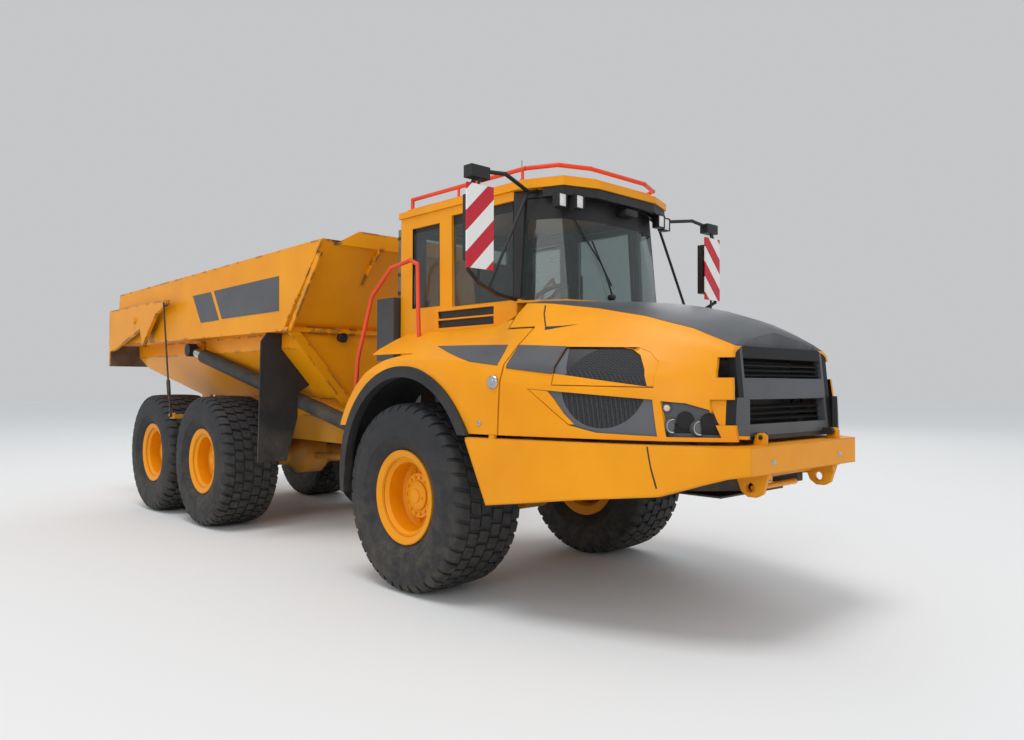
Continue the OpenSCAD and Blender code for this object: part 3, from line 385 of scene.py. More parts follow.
# In the upper opening the plastic beyond the band is painted near-black, as shade inside the opening
band_edge = calc("MULTIPLY", calc("SUBTRACT", BAND_END[1], z), BAND_SLOPE)
past = calc("SUBTRACT", x, FRONT_AXLE_X + BAND_END[0])
past = calc("GREATER_THAN", past, band_edge)
opening_shade = calc("MULTIPLY", past, calc("GREATER_THAN", z, UPPER_OPENING))
plastic = mix_colour(tree, opening_shade, plastic, colour("18181A"))
solid = calc("SUBTRACT", 1.0, calc("MULTIPLY", hole, inside))
feed(tree, shader, {"Base Color": mix_colour(tree, inside, plastic, mesh),
                    "Roughness": range_node(tree, inside, 0.0, 1.0, 0.45, 0.8),
                    "Normal": relief_normal(tree, solid, 0.5, 0.004)})
print("mesh", MESH_CELLS, "cells to a metre")

# %% [markdown]
# ### Warning stripes
#
# The boards at the mirrors carry slanted red and white stripes.
# A stripe can be cut into the mesh or made by the material. Here the sum of Y and Z is
# taken modulo the stripe's width, which gives clean edges on a flat board.

# %% Stripe the warning boards
STRIPE_PITCH = 0.30

board_stripes, tree, shader = new_material("board_stripes", {"Roughness": 0.4})
calc = partial(math_node, tree)
_, _, y, z = place_nodes(tree)
slant = calc("ADD", calc("ABSOLUTE", y), z)
step = calc("FRACT", calc("DIVIDE", slant, STRIPE_PITCH))
mask = calc("GREATER_THAN", step, 0.5)
feed(tree, shader, {"Base Color": mix_colour(tree, mask, colour("C4142B"), colour("ECECEA"))})
print("stripe pitch", STRIPE_PITCH, "m")

# %% [markdown]
# ### Who wears what
#
# Haulers are mostly painted alike: body colour for the shell, dark paint for the frame
# and worn steel where parts slide. Each solid could be dressed by hand, but a table is
# easier to read, and the print tells which solid was forgotten.

# %% Give each solid its finish
FINISHES = {
    bumper_paint: ["bumper"],
    body_paint: ["dump_body", "tailgate"],
    yellow_paint: ["fenders", "cab_shell", "cab_roof", "hood", "cab_door",
                   "rim_fl", "rim_fr", "rim_ml", "rim_mr", "rim_rl", "rim_rr"],
    yellow_chassis: ["rear_frame", "rear_axles", "front_axle"],
    dark_paint: ["hood_cap", "front_grille", "side_grilles", "headlamps"],
    frame_paint: ["front_frame", "engine_block", "radiators", "left_steps", "hitch_block", "bogie_beams",
                  "hoist_barrel_l", "hoist_barrel_r", "steer_barrel_l", "steer_barrel_r"],
    black_plastic: ["cab_interior", "roof_lights", "mirror_arms", "radiator_fan"],
    steel_box: ["muffler_box"],
    rubber: ["arch_flares", "mud_flaps"],
    tyre_rubber: ["tyre_fl", "tyre_fr", "tyre_ml", "tyre_mr", "tyre_rl", "tyre_rr"],
    orange_paint: ["roof_rail", "handrails"],
    board_stripes: ["warning_boards"],
    cab_glass: ["cab_glass", "door_glass"],
    exhaust_steel: ["exhaust_stack"],
    rod_chrome: ["steer_rod_l", "steer_rod_r", "hoist_rod_l", "hoist_rod_r"],
    wire_steel: ["gate_wires"],
}
for finish, names in FINISHES.items():
    for name in names:
        nodes[name].data.materials.clear()
        nodes[name].data.materials.append(finish)
print("solids without a finish:", sorted(set(nodes) - set(sum(FINISHES.values(), []))))

# %% [markdown]
# ## Tools of this lesson
#
# Blender's bmesh operators make all the new pieces. A few small helpers cover most of them:
# a turned shape from a profile, a straight bar, a bent tube, a block with soft edges, and a
# bolt. Each one adds to an open bmesh, so many small shapes can become one piece.

# %% Helpers that add shapes to a bmesh
BODY_OF = {name: body for body, names in frame["record"]["behaviour"]["bodies"].items() for name in names}
SMOOTH_ANGLE = math.radians(32)


def from_axle(x, y, z):
    """A place measured from the front axle's middle, as the drawings give it."""
    return Vector((x + FRONT_AXLE_X, y, z))


def aim_matrix(place, axis):
    """A matrix whose Z axis runs along the given axis from the given place."""
    return Matrix.Translation(Vector(place)) @ Vector(axis).to_track_quat("Z", "Y").to_matrix().to_4x4()


def add_bmesh(target, source, matrix=Matrix.Identity(4)):
    """Adds a bmesh to another one, moved by a matrix, and frees it."""
    bmesh.ops.transform(source, matrix=matrix, verts=source.verts)
    carrier = bpy.data.meshes.new("carrier")
    source.to_mesh(carrier)
    source.free()
    target.from_mesh(carrier)
    bpy.data.meshes.remove(carrier)


def spun(profile, steps, closed=False):
    """A bmesh of a profile of (radius, height) pairs, spun round the Z axis."""
    bm = bmesh.new()
    ring = [bm.verts.new((radius, 0.0, height)) for radius, height in profile]
    for first, second in zip(ring, ring[1:] + ring[:closed]):
        bm.edges.new((first, second))
    bmesh.ops.spin(bm, geom=bm.verts[:] + bm.edges[:], cent=(0, 0, 0), axis=(0, 0, 1),
                   angle=2 * math.pi, steps=steps, use_merge=True)
    bmesh.ops.remove_doubles(bm, verts=bm.verts, dist=1e-6)
    bmesh.ops.recalc_face_normals(bm, faces=bm.faces)
    return bm


def add_turned(target, profile, place, axis, steps=32):
    """A spun profile whose own axis starts at a place and runs along the given axis."""
    add_bmesh(target, spun(profile, steps), aim_matrix(place, axis))


def add_bar(target, start, end, radius, steps=12):
    """A round bar between two places, with closed and slightly rounded ends."""
    start, end = Vector(start), Vector(end)
    length = (end - start).length
    soft = min(radius * 0.25, length * 0.2)
    half = [(0, 0), (radius - soft, 0), (radius, soft)]
    add_turned(target, half + [(r, length - h) for r, h in reversed(half)], start, end - start, steps)


def add_tube(target, places, radius, steps=12):
    """Bars through a list of places, with a ball in every bend."""
    for start, end in zip(places, places[1:]):
        add_bar(target, start, end, radius, steps)
    for place in places[1:-1]:
        bmesh.ops.create_uvsphere(target, u_segments=steps, v_segments=8, radius=radius * 1.02,
                                  matrix=Matrix.Translation(place))


def add_block(target, low, high, soft):
    """A block between two corners, its edges bevelled."""
    work = bmesh.new()
    bmesh.ops.create_cube(work, size=1.0)
    for vert in work.verts:
        vert.co = Vector((low[i] + (vert.co[i] + 0.5) * (high[i] - low[i]) for i in range(3)))
    bmesh.ops.bevel(work, geom=work.edges[:], offset=soft, segments=2, profile=0.5, affect="EDGES", material=-1)
    add_bmesh(target, work)


def add_bolt(target, place, axis, width):
    """A hexagon bolt head with its washer and a chamfered top."""
    half = width / 2
    add_turned(target, [(0, 0), (half * 1.35, 0), (half * 1.35, half * 0.2), (0, half * 0.2)], place, axis, 16)
    add_turned(target, [(0, 0), (half, 0), (half, half * 0.9), (half * 0.82, half * 1.15), (0, half * 1.15)],
               place, axis, 6)


def add_ring_of_bolts(target, centre, axis, radius, count, width):
    """Bolts on a circle, all facing along the axis."""
    for index in range(count):
        turn = 2 * math.pi * index / count
        offset = aim_matrix((0, 0, 0), axis) @ Vector((radius * math.cos(turn), radius * math.sin(turn), 0))
        add_bolt(target, Vector(centre) + offset, axis, width)


def finish_piece(name, bm, body, material):
    """Makes a bmesh a piece: smooth but for its sharp edges, dressed, and riding on a body."""
    for face in bm.faces:
        face.smooth = True
    for edge in bm.edges:
        edge.smooth = edge.calc_face_angle(0.0) < SMOOTH_ANGLE
    piece = object_from_bmesh(name, bm)
    piece.data.materials.append(material)
    print(name, len(piece.data.polygons), "faces")
    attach(piece, body)
    return piece


# %% [markdown]
# ## Curved panels
#
# The hood, its cap, the fenders and their rubber flares are moulded panels. Their solids are
# made of flat facets, which show as bands in glossy paint. The panel could be modelled again
# as a subdivision surface, but the shape is already right. So each one is copied, its loose
# triangles are merged, and soft shading runs across every edge but the sharp ones.

# %% Copy the moulded panels with soft shading
PANEL_ANGLE = math.radians(28)


def soft_panel(node, angle=PANEL_ANGLE):
    """A smooth copy of a faceted solid that stands in for it."""
    bm = bmesh.new()
    bm.from_mesh(nodes[node].data)
    bmesh.ops.remove_doubles(bm, verts=bm.verts, dist=0.0002)
    for face in bm.faces:
        face.smooth = True
    for edge in bm.edges:
        edge.smooth = len(edge.link_faces) == 2 and edge.calc_face_angle(0.0) < angle
    panel = object_from_bmesh(node + "_panel", bm)
    weights = panel.modifiers.new("even_shading", "WEIGHTED_NORMAL")
    weights.keep_sharp = True
    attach(panel, BODY_OF[node])
    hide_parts(node)
    return panel


panel_finish = {"fenders": yellow_paint, "hood_cap": dark_paint,
                "arch_flares": rubber, "side_grilles": fan_mesh}
for node, finish in panel_finish.items():
    panel = soft_panel(node)
    panel.data.materials.append(finish)
    print(node, len(panel.data.polygons), "faces")

# %% [markdown]
# ## Tyres
#
# A hauler's tyre has a smooth bulging side wall and a deep tread whose blocks wrap over the
# shoulder. The tread could be an array of separate blocks, but blocks that grow out of the
# casing look like rubber. So the section is spun into a casing first. Then the faces of each
# block are raised by the tread's depth and their rims are bevelled, as worn rubber is.

# %% Spin one tyre's casing and raise its blocks
TYRE_MIDDLE = 1.129
AXLE_HEIGHT = 0.790
TREAD_DEPTH = 0.021
BLOCKS_ROUND = 40
COLUMNS_PER_BLOCK = 4
TREAD_EDGE = 0.715
GROOVES = ((-0.012, 0.012), (0.105, 0.120), (0.215, 0.225))
ROW_ENDS = (0.11, 0.22)
TREAD_SLANT = math.radians(5.0)
SLANT_FROM, SLANT_WIDTH, SLANT_POWER = 0.70, 0.33, 1.4
CASING_HALF = [
    (0.3179, 0.270), (0.345, 0.2835), (0.392, 0.2835), (0.402, 0.292), (0.412, 0.296), (0.420, 0.305),
    (0.455, 0.333), (0.500, 0.350), (0.507, 0.356), (0.522, 0.357), (0.530, 0.357), (0.575, 0.362),
    (0.620, 0.360), (0.665, 0.349), (0.672, 0.351), (0.684, 0.350), (0.712, 0.338), (0.742, 0.318),
    (0.758, 0.285), (0.763, 0.225), (0.765, 0.215), (0.767, 0.120), (0.768, 0.105), (0.769, 0.012),
]

profile = CASING_HALF + [(radius, -offset) for radius, offset in reversed(CASING_HALF)]
steps = BLOCKS_ROUND * COLUMNS_PER_BLOCK
tyre_pattern = spun(profile, steps, closed=True)
raised = []
for face in tyre_pattern.faces:
    middle = face.calc_center_median()
    radius, offset = math.hypot(middle.x, middle.y), abs(middle.z)
    if radius < TREAD_EDGE or any(low < offset < high for low, high in GROOVES):
        continue
    column = math.floor(math.atan2(middle.y, middle.x) / (2 * math.pi) * steps + steps)
    shift = (0 if offset > ROW_ENDS[1] else 2 if offset > ROW_ENDS[0] else 1) + (2 if middle.z > 0 else 0)
    if (column + shift) % COLUMNS_PER_BLOCK:
        raised.append(face)
grown = bmesh.ops.extrude_face_region(tyre_pattern, geom=raised)["geom"]
bmesh.ops.delete(tyre_pattern, geom=raised, context="FACES_ONLY")
tops = [item for item in grown if isinstance(item, bmesh.types.BMFace)]
for vert in {vert for face in tops for vert in face.verts}:
    outward = Vector((vert.co.x, vert.co.y, 0.0)).normalized()
    vert.co += outward * TREAD_DEPTH
rims = {edge for face in tops for edge in face.edges if sum(link in tops for link in edge.link_faces) == 1}
bmesh.ops.bevel(tyre_pattern, geom=list(rims), offset=0.0035, segments=1, profile=0.5, affect="EDGES", material=-1)
for vert in tyre_pattern.verts:
    if math.hypot(vert.co.x, vert.co.y) > SLANT_FROM:
        slant = TREAD_SLANT * (abs(vert.co.z) / SLANT_WIDTH) ** SLANT_POWER
        vert.co = Matrix.Rotation(slant * (1 if vert.co.z > 0 else -1), 3, "Z") @ vert.co
print("tyre", len(tyre_pattern.faces), "faces")
FIRST_BOGIE, SECOND_BOGIE = -4.178, -5.848
WHEELS = {"fl": (0.0, 1), "fr": (0.0, -1), "ml": (FIRST_BOGIE, 1), "mr": (FIRST_BOGIE, -1),
          "rl": (SECOND_BOGIE, 1), "rr": (SECOND_BOGIE, -1)}
for wheel, (x, side) in WHEELS.items():
    bm = bmesh.new()
    turned = aim_matrix(from_axle(x, side * TYRE_MIDDLE, AXLE_HEIGHT), (0, side, 0))
    add_bmesh(bm, tyre_pattern.copy(), turned)
    tyre = finish_piece("tread_" + wheel, bm, "wheel_" + wheel, tyre_rubber)
    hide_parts("tyre_" + wheel)
tyre_pattern.free()

# %% [markdown]
# ## Wheel ends
#
# Deep inside each rim sits the hub drive, held by a ring of bolts, with a smaller cover and
# its own bolts in front. They could be one turned part, but separate bolt heads catch light.

# %% Bolt the hubs
for wheel, (x, side) in WHEELS.items():
    bm = bmesh.new()
    out = (0, side, 0)
    face_y = side * (TYRE_MIDDLE + 0.060)
    add_ring_of_bolts(bm, from_axle(x, face_y, AXLE_HEIGHT), out, 0.236, 20, 0.032)
    cover_y = side * (TYRE_MIDDLE + 0.146)
    add_turned(bm, [(0, 0), (0.125, 0), (0.125, 0.012), (0.112, 0.020), (0.060, 0.024), (0.056, 0.034), (0, 0.036)],
               from_axle(x, cover_y, AXLE_HEIGHT), out, 40)
    add_ring_of_bolts(bm, from_axle(x, side * (TYRE_MIDDLE + 0.144), AXLE_HEIGHT), out, 0.155, 14, 0.020)
    add_bolt(bm, from_axle(x + 0.085, side * (TYRE_MIDDLE + 0.166), AXLE_HEIGHT - 0.01), out, 0.022)
    finish_piece("hub_bolts_" + wheel, bm, "wheel_" + wheel, yellow_paint)

# %% [markdown]
# ## Panels that lie on a curved skin
#
# The dark band beside the hood's meshes, the bare grey panels on the body and the thin seams
# all follow the skin under them. They could be painted by a material, but a real panel has a
# thickness and an edge. So an outline is drawn from the side, cut into a fine grid, dropped
# onto the skin with rays, and given its thickness.

# %% Drop outlines onto a skin
GRID_STEP = 0.035
OUTSIDE = 3.0


def skin_of(*names):
    """A search tree over the surfaces of some solids."""
    bm = bmesh.new()
    for name in names:
        bm.from_mesh(nodes[name].data)
    tree = BVHTree.FromBMesh(bm)
    bm.free()
    return tree


def skin_place(skin, x, z, side):
    """Where a ray from the side meets the skin, and the skin's normal there."""
    return skin.ray_cast(Vector((x, side * OUTSIDE, z)), Vector((0, -side, 0)))[:2]


def cut(bm, planes):
    """Cuts a bmesh along planes, each given by a place and a normal."""
    for place, normal in planes:
        bmesh.ops.bisect_plane(bm, geom=bm.verts[:] + bm.edges[:] + bm.faces[:], plane_co=place, plane_no=normal)


def thicken(bm, offset):
    """Turns a sheet of faces into a plate by moving a copy of it."""
    for item in bmesh.ops.extrude_face_region(bm, geom=bm.faces[:], use_keep_orig=True)["geom"]:
        if isinstance(item, bmesh.types.BMVert):
            item.co += offset
    bmesh.ops.recalc_face_normals(bm, faces=bm.faces)


def outline_face(bm, outline, y=0.0):
    """A face with an (x, z) outline."""
    return bm.faces.new([bm.verts.new(from_axle(x, y, z)) for x, z in outline])


def add_laid_panel(target, outline, skin, side, lift, thickness):
    """A panel with an (x, z) outline that follows the skin on one side of the truck."""
    work = bmesh.new()
    outline_face(work, outline)
    spans = [[vert.co[axis] for vert in work.verts] for axis in (0, 2)]
    for values, normal in zip(spans, (Vector((1, 0, 0)), Vector((0, 0, 1)))):
        steps = range(1, math.ceil((max(values) - min(values)) / GRID_STEP))
        cut(work, [(normal * (min(values) + index * GRID_STEP), normal) for index in steps])
    normals = []
    for vert in work.verts:
        place, normal = skin_place(skin, vert.co.x, vert.co.z, side)
        if place is not None:
            vert.co = place + normal * lift
            normals.append(normal)
    mean = sum(normals, Vector()).normalized()
    work.normal_update()
    if sum((face.normal for face in work.faces), Vector()).dot(mean) > 0:
        bmesh.ops.reverse_faces(work, faces=work.faces)
    thicken(work, mean * thickness)
    add_bmesh(target, work)


def laid_panel(name, outline, skin, body, material, lift=0.0005, thickness=0.003):
    """The same panel on both sides of the truck, as one piece."""
    bm = bmesh.new()
    for side in (1, -1):
        add_laid_panel(bm, outline, skin, side, lift, thickness)
    finish_piece(name, bm, body, material)


SEAM = (0.0, 0.0012)
hood_skin = skin_of("hood")
fender_skin = skin_of("fenders")
body_skin = skin_of("dump_body")
laid_panel("hood_band", [(1.168, 2.024), (1.559, 2.004), (1.559, 1.806), (1.185, 1.850)],
           hood_skin, "hood", dark_paint, 0.004)
laid_panel("fender_band", [(0.30, 2.043), (1.060, 2.030), (1.105, 1.872), (0.84, 1.903), (0.64, 1.953)],
           fender_skin, "front_unit", dark_paint, 0.001)
laid_panel("body_panel_rear", [(-4.717, 2.851), (-4.196, 2.860), (-3.969, 2.502), (-4.472, 2.493)],
           body_skin, "dump_body", dark_paint)
laid_panel("body_panel_front", [(-4.113, 2.866), (-2.530, 2.900), (-2.523, 2.520), (-3.889, 2.510)],
           body_skin, "dump_body", dark_paint)
COVERS = [
    [(1.90, 2.003), (2.03, 1.975), (2.104, 1.929), (2.165, 1.83), (2.205, 1.718), (2.248, 1.716), (2.232, 1.888),
     (2.158, 1.952), (2.070, 1.988)],
    [(1.563, 1.729), (1.563, 1.806), (1.664, 1.793), (2.205, 1.718), (2.205, 1.716)],
    [(1.385, 1.699), (1.53, 1.687), (1.575, 1.64), (1.66, 1.53), (1.74, 1.456), (1.702, 1.455), (1.562, 1.563)],
]
grille_skin = skin_of("side_grilles")
for index, outline in enumerate(COVERS):
    laid_panel("mesh_corner_%d" % (index + 1), outline, grille_skin, "hood", yellow_paint, 0.0, 0.012)
laid_panel("hood_slot", [(1.272, 2.142), (1.525, 2.178), (1.40, 2.170), (1.252, 2.170)],
           hood_skin, "hood", black_plastic, *SEAM)
laid_panel("hood_seam", [(1.108, 2.350), (1.120, 2.350), (1.262, 2.172), (1.250, 2.172)],
           hood_skin, "hood", black_plastic, *SEAM)
laid_panel("bumper_seam", [(2.268, 1.330), (2.278, 1.330), (2.300, 1.200), (2.335, 1.060), (2.325, 1.060),
                           (2.290, 1.200)], skin_of("bumper"), "front_unit", black_plastic, *SEAM)

# %% [markdown]
# ## Window frames
#
# Each pane sits in a black rubber frame, which is what makes a cab's windows look set in.
# A frame could be a swept tube, but a flat ring is closer: its outline is a face that is
# inset, its middle is taken out, and the ring is given a thickness.

# %% Frame the side windows and the door's window
SIDE_WINDOWS = {
    "rear": [(-0.70, 2.45), (-0.28, 2.45), (-0.29, 3.21), (-0.70, 3.21)],
    "front": [(-0.095, 2.43), (0.70, 2.43), (0.69, 3.25), (-0.11, 3.25)],
    "door": [(-0.03, 2.30), (0.64, 2.30), (0.655, 2.50), (0.61, 3.20), (-0.04, 3.20)],
}
WINDOW_Y = 0.826
FRAME_DEPTH = 0.0065


def add_frame(target, outline, width, side):
    """A flat ring inside an (x, z) outline, on the side's outer face."""
    work = bmesh.new()
    face = outline_face(work, outline, side * WINDOW_Y)
    bmesh.ops.inset_region(work, faces=[face], thickness=width, use_boundary=True, use_even_offset=True)
    bmesh.ops.delete(work, geom=[face], context="FACES")
    thicken(work, Vector((0, side * FRAME_DEPTH, 0)))
    add_bmesh(target, work)


bm = bmesh.new()
for side in (1, -1):
    add_frame(bm, SIDE_WINDOWS["rear"], 0.030, side)
add_frame(bm, SIDE_WINDOWS["front"], 0.034, -1)
finish_piece("window_frames", bm, "front_unit", black_plastic)
bm = bmesh.new()
add_frame(bm, SIDE_WINDOWS["door"], 0.030, 1)
finish_piece("door_window_frame", bm, "cab_door", black_plastic)

# %% [markdown]
# ## Solids with two finishes
#
# On the real cab the glass runs round the front corners and its thin posts are black, while
# the rear posts are body-coloured. One solid holds them all, so a copy of it is cut where the
# finish changes, and a test on each face picks the black ones.

# %% Blacken the front posts and the cab's inside
POST_X, POST_FOOT = 0.688, 2.432
CAB_LOW, CAB_HIGH = (-0.88, -0.82, 1.71), (1.30, 0.82, 3.32)
CAB_MIDDLE_X = -0.05
ROOM_STEP = 0.06


def two_finishes(node, cuts, pick, first, second):
    """A copy of a solid, cut by planes, with a second finish where pick says so."""
    piece = soft_panel(node)
    bm = bmesh.new()
    bm.from_mesh(piece.data)
    cut(bm, cuts)
    for face in bm.faces:
        place = face.calc_center_median() - Vector((FRONT_AXLE_X, 0, 0))
        face.material_index = int(pick(place, face.normal))
    bm.to_mesh(piece.data)
    bm.free()
    piece.data.materials.append(first)
    piece.data.materials.append(second)
    print(node, sum(face.material_index for face in piece.data.polygons), "faces in its second finish")
    return piece


def level(height):
    """A cutting plane at a height."""
    return (0, 0, height), (0, 0, 1)


def across(x):
    """A cutting plane across the truck."""
    return from_axle(x, 0, 0), (1, 0, 0)


def black_in_cab(place, normal):
    """The front posts, and the faces that look into the cab's room."""
    ahead = place + normal * ROOM_STEP
    indoors = all(low < value < high for low, value, high in zip(CAB_LOW, ahead, CAB_HIGH))
    faces_in = normal.dot(Vector((CAB_MIDDLE_X, 0, place.z)) - place) > 0.1
    return indoors and faces_in or place.x > POST_X and place.z > POST_FOOT


two_finishes("cab_shell", [across(POST_X), level(POST_FOOT)], black_in_cab, yellow_paint, black_plastic)

# %% [markdown]
# ### Bands and dark faces
#
# The same trick serves other solids. The top of each pane is an opaque black band, and the
# grille's slats and the hollows beside them lie in deep shadow.

# %% Band the panes and darken the hollows
# Near-black painted shade, for the grille's slats and sides, the lamps' bowls and the hollows round the lamps
painted_shade_black = worn_finish("painted_shade_black", "0D0D0E", "080809", 0.7, dust=0.0)
SCREEN_BAND, SIDE_BAND = 3.09, 3.17
SCREEN_X = 0.74
SLATS_END, GRILLE_END = 0.559, 0.59
SLATS = ((1.468, 1.635), (1.783, 1.978))
OPENING_FRONT = 1.56
BAND_FOOT = 1.81
REVEAL_DEPTH = 0.012
NOSE_X, NOSE_HALF, NOSE_TOP = 2.6, 0.64, 1.425
ENGINE_REAR, ENGINE_FRONT, ENGINE_HEIGHT = 1.2, 2.4, 1.45
DOOR_SILL = 2.3

two_finishes("cab_glass", [level(SCREEN_BAND), level(SIDE_BAND)],
             lambda place, normal: place.z > (SCREEN_BAND if place.x > SCREEN_X else SIDE_BAND),
             cab_glass, black_plastic)
# The slats and the grille's sides beyond them are painted near-black as shade
two_finishes("front_grille", [((0, y, 0), (0, 1, 0)) for y in (-GRILLE_END, -SLATS_END, SLATS_END, GRILLE_END)],
             lambda place, normal: abs(place.y) > GRILLE_END or abs(place.y) < SLATS_END and any(
                 low < place.z < high for low, high in SLATS), dark_paint, painted_shade_black)


def clamp(value, low, high):
    """A value held between two limits."""
    return min(max(value, low), high)


def black_in_hood(place, normal):
    """The hood's inside, the foot of its nose and the front edge of the band's opening, which are painted black as
    shade.
    """
    inwards = Vector((clamp(place.x, ENGINE_REAR, ENGINE_FRONT), 0, ENGINE_HEIGHT)) - place
    nose_foot = place.x > NOSE_X and abs(place.y) < NOSE_HALF and place.z < NOSE_TOP
    reveal = abs(place.x - OPENING_FRONT) < REVEAL_DEPTH and normal.x > 0.5 and place.z > BAND_FOOT
    return normal.dot(inwards) > 0 or nose_foot or reveal


# The hood's inside, its nose's foot and the reveal are painted black as shade
two_finishes("hood", [level(BAND_FOOT)], black_in_hood, yellow_paint, black_plastic)
two_finishes("cab_door", [], lambda place, normal: normal.y < -0.5 or place.z > DOOR_SILL and abs(normal.y) < 0.5,
             yellow_paint, black_plastic)

# %% [markdown]
# ### Lamp recesses and rod eyes
#
# The lamps look out of round mouths in a dark recess with a body-coloured rim. Their bowls and
# the recess's back are painted near-black as shade. The hoist's chromed rods end in black eyes.
# Each could be a solid of its own, but here a distance from an axis or a point picks the faces,
# so nothing new has to fit.

# %% Darken the lamps' recess and the eyes of the hoist's rods
MOUTH_AXIS = Vector((0.574, 0.819, 0))
LAMP_MOUTHS = [Vector((2.405, 0.880, 1.500)), Vector((2.530, 0.793, 1.490))]
LAMP_MOUTH_RADIUS = 0.0605
RECESS_BACK, RECESS_FRONT, RECESS_FLOOR = 2.632, 2.682, 1.40
RECESS_EDGE, RECESS_NORMAL = (2.566, 0, 1.57), (1, 0, 0.361)
HOIST_EYE = Vector((-5.0, 1.25, 2.17))
HOIST_EYE_REACH = 0.13


def on_left(place):
    """A place moved to the truck's left side, so that one test serves both sides."""
    return Vector((place.x, abs(place.y), place.z))


def black_in_lamp(place, normal):
    """The lamps' bowls and the back of the recess round them, which are painted near-black as shade."""
    for mouth in LAMP_MOUTHS:
        away = on_left(place) - mouth
        depth = away.dot(MOUTH_AXIS)
        if (away - MOUTH_AXIS * depth).length < LAMP_MOUTH_RADIUS and depth > 0.002:
            return True
    return RECESS_BACK < place.x < RECESS_FRONT and place.z > RECESS_FLOOR


# The bowls and the recess's back take painted shade; the rim takes yellow paint
lamps = two_finishes("headlamps", [across(RECESS_BACK), across(RECESS_FRONT), level(RECESS_FLOOR),
                                   (from_axle(*RECESS_EDGE), RECESS_NORMAL)], black_in_lamp, dark_paint, painted_shade_black)
lamps.data.materials.append(yellow_paint)
for face in lamps.data.polygons:
    place = face.center - Vector((FRONT_AXLE_X, 0, 0))
    past_edge = (place - Vector(RECESS_EDGE)).dot(Vector(RECESS_NORMAL)) > 0
    if place.x > RECESS_BACK and place.z < RECESS_FLOOR or past_edge and place.x < RECESS_BACK:
        face.material_index = 2
for side in "lr":
    two_finishes("hoist_rod_" + side, [], lambda place, normal: (
        on_left(place) - HOIST_EYE).length < HOIST_EYE_REACH, rod_chrome, black_plastic)

# %% [markdown]
# ### The load space
#
# Loads scour the paint off the inside of the body. A face belongs to the inside when a ray from
# it reaches the middle of the load space without meeting the body again. Faces could be picked
# by their direction alone, but then ribs on the outside would be caught as well.

# %% Line the body and its tailgate with bare steel
LOAD_REAR, LOAD_FRONT, LOAD_HEIGHT = -5.8, -3.0, 2.72
load_steel = worn_finish("load_steel", "7A6F62", "55493C", 0.55, metallic=0.55, dust=0.5, clean_height=4.0,
                         tone_scale=4.0, bump=0.2)


def in_the_load(node):
    """A test that is true for the faces of a solid that see the load space."""
    skin = skin_of(node)

    def test(place, normal):
        start = from_axle(*place) + normal * 0.003
        way = from_axle(clamp(place.x, LOAD_REAR, LOAD_FRONT), 0, LOAD_HEIGHT) - start
        return normal.dot(way) > 0.02 and skin.ray_cast(start, way.normalized(), way.length)[0] is None
    return test


for node in ("dump_body", "tailgate"):
    two_finishes(node, [], in_the_load(node), body_paint, load_steel)

# %% [markdown]
# ## Lamps
#
# A lamp reads as a lamp when its lens is clear and something bright lies behind it.
# A flat white disc would pass from afar. A turned bowl with a pale reflector and a domed
# glass over it also holds from close by.

# %% Finishes for lamps and mirrors
def plain_sheen(name, code, roughness, metallic=0.0, speck=0.06):
    """A clean finish with a faint change of tone, for small fittings."""
    material, tree, shader = new_material(name, {"Metallic": metallic})
    tone_node = place_group(tree, tone_group, Scale=14.0)
    base = colour(code)
    shade = tuple(c * (1 - speck * 4) for c in base[:3]) + (1.0,)
    feed(tree, shader, {
        "Base Color": mix_colour(tree, tone_node.outputs["Tone"], shade, base),
        "Roughness": range_node(tree, tone_node.outputs["Grain"], 0.2, 0.8, roughness, roughness + speck)})
    return material


# The reflector is real, but its near-white colour is a painted reflection, as bright as a silvered bowl looks
lamp_reflector = plain_sheen("lamp_reflector", "F0F1F2", 0.25, metallic=0.1)
lamp_lens = clear_glass("lamp_lens", "F2F6F8")
red_lens = plain_sheen("red_lens", "B3121A", 0.2)
amber_lens = plain_sheen("amber_lens", "E8751A", 0.2)
marker_lens = plain_sheen("marker_lens", "D8C0AE", 0.2)
mirror_glass = plain_sheen("mirror_glass", "D7DCE0", 0.03, metallic=1.0, speck=0.01)
work_lamp_face = plain_sheen("work_lamp_face", "F4F4F0", 0.25, speck=0.03)


def add_round_lamp(bowl, glass, place, axis, radius):
    """A bowl with its rim in one bmesh, and the domed glass in another."""
    bowl_profile = [(0, -0.6), (0.55, -0.5), (0.86, 0), (1, 0.05), (1.04, -0.05), (1.04, -0.75), (0, -0.8)]
    glass_profile = [(0, 0.16), (0.4, 0.13), (0.75, 0.06), (0.9, 0), (0.9, -0.06), (0, -0.06)]
    for target, profile in ((bowl, bowl_profile), (glass, glass_profile)):
        add_turned(target, [(r * radius, h * radius) for r, h in profile], place, axis)


print("finishes", len(bpy.data.materials))


# %% [markdown]
# ### Headlamps
#
# Two round lamps look ahead and a little outwards on each side, with a small marker beside
# them. The right side could be mirrored from the left, but a loop over both sides keeps every
# face pointing outwards.

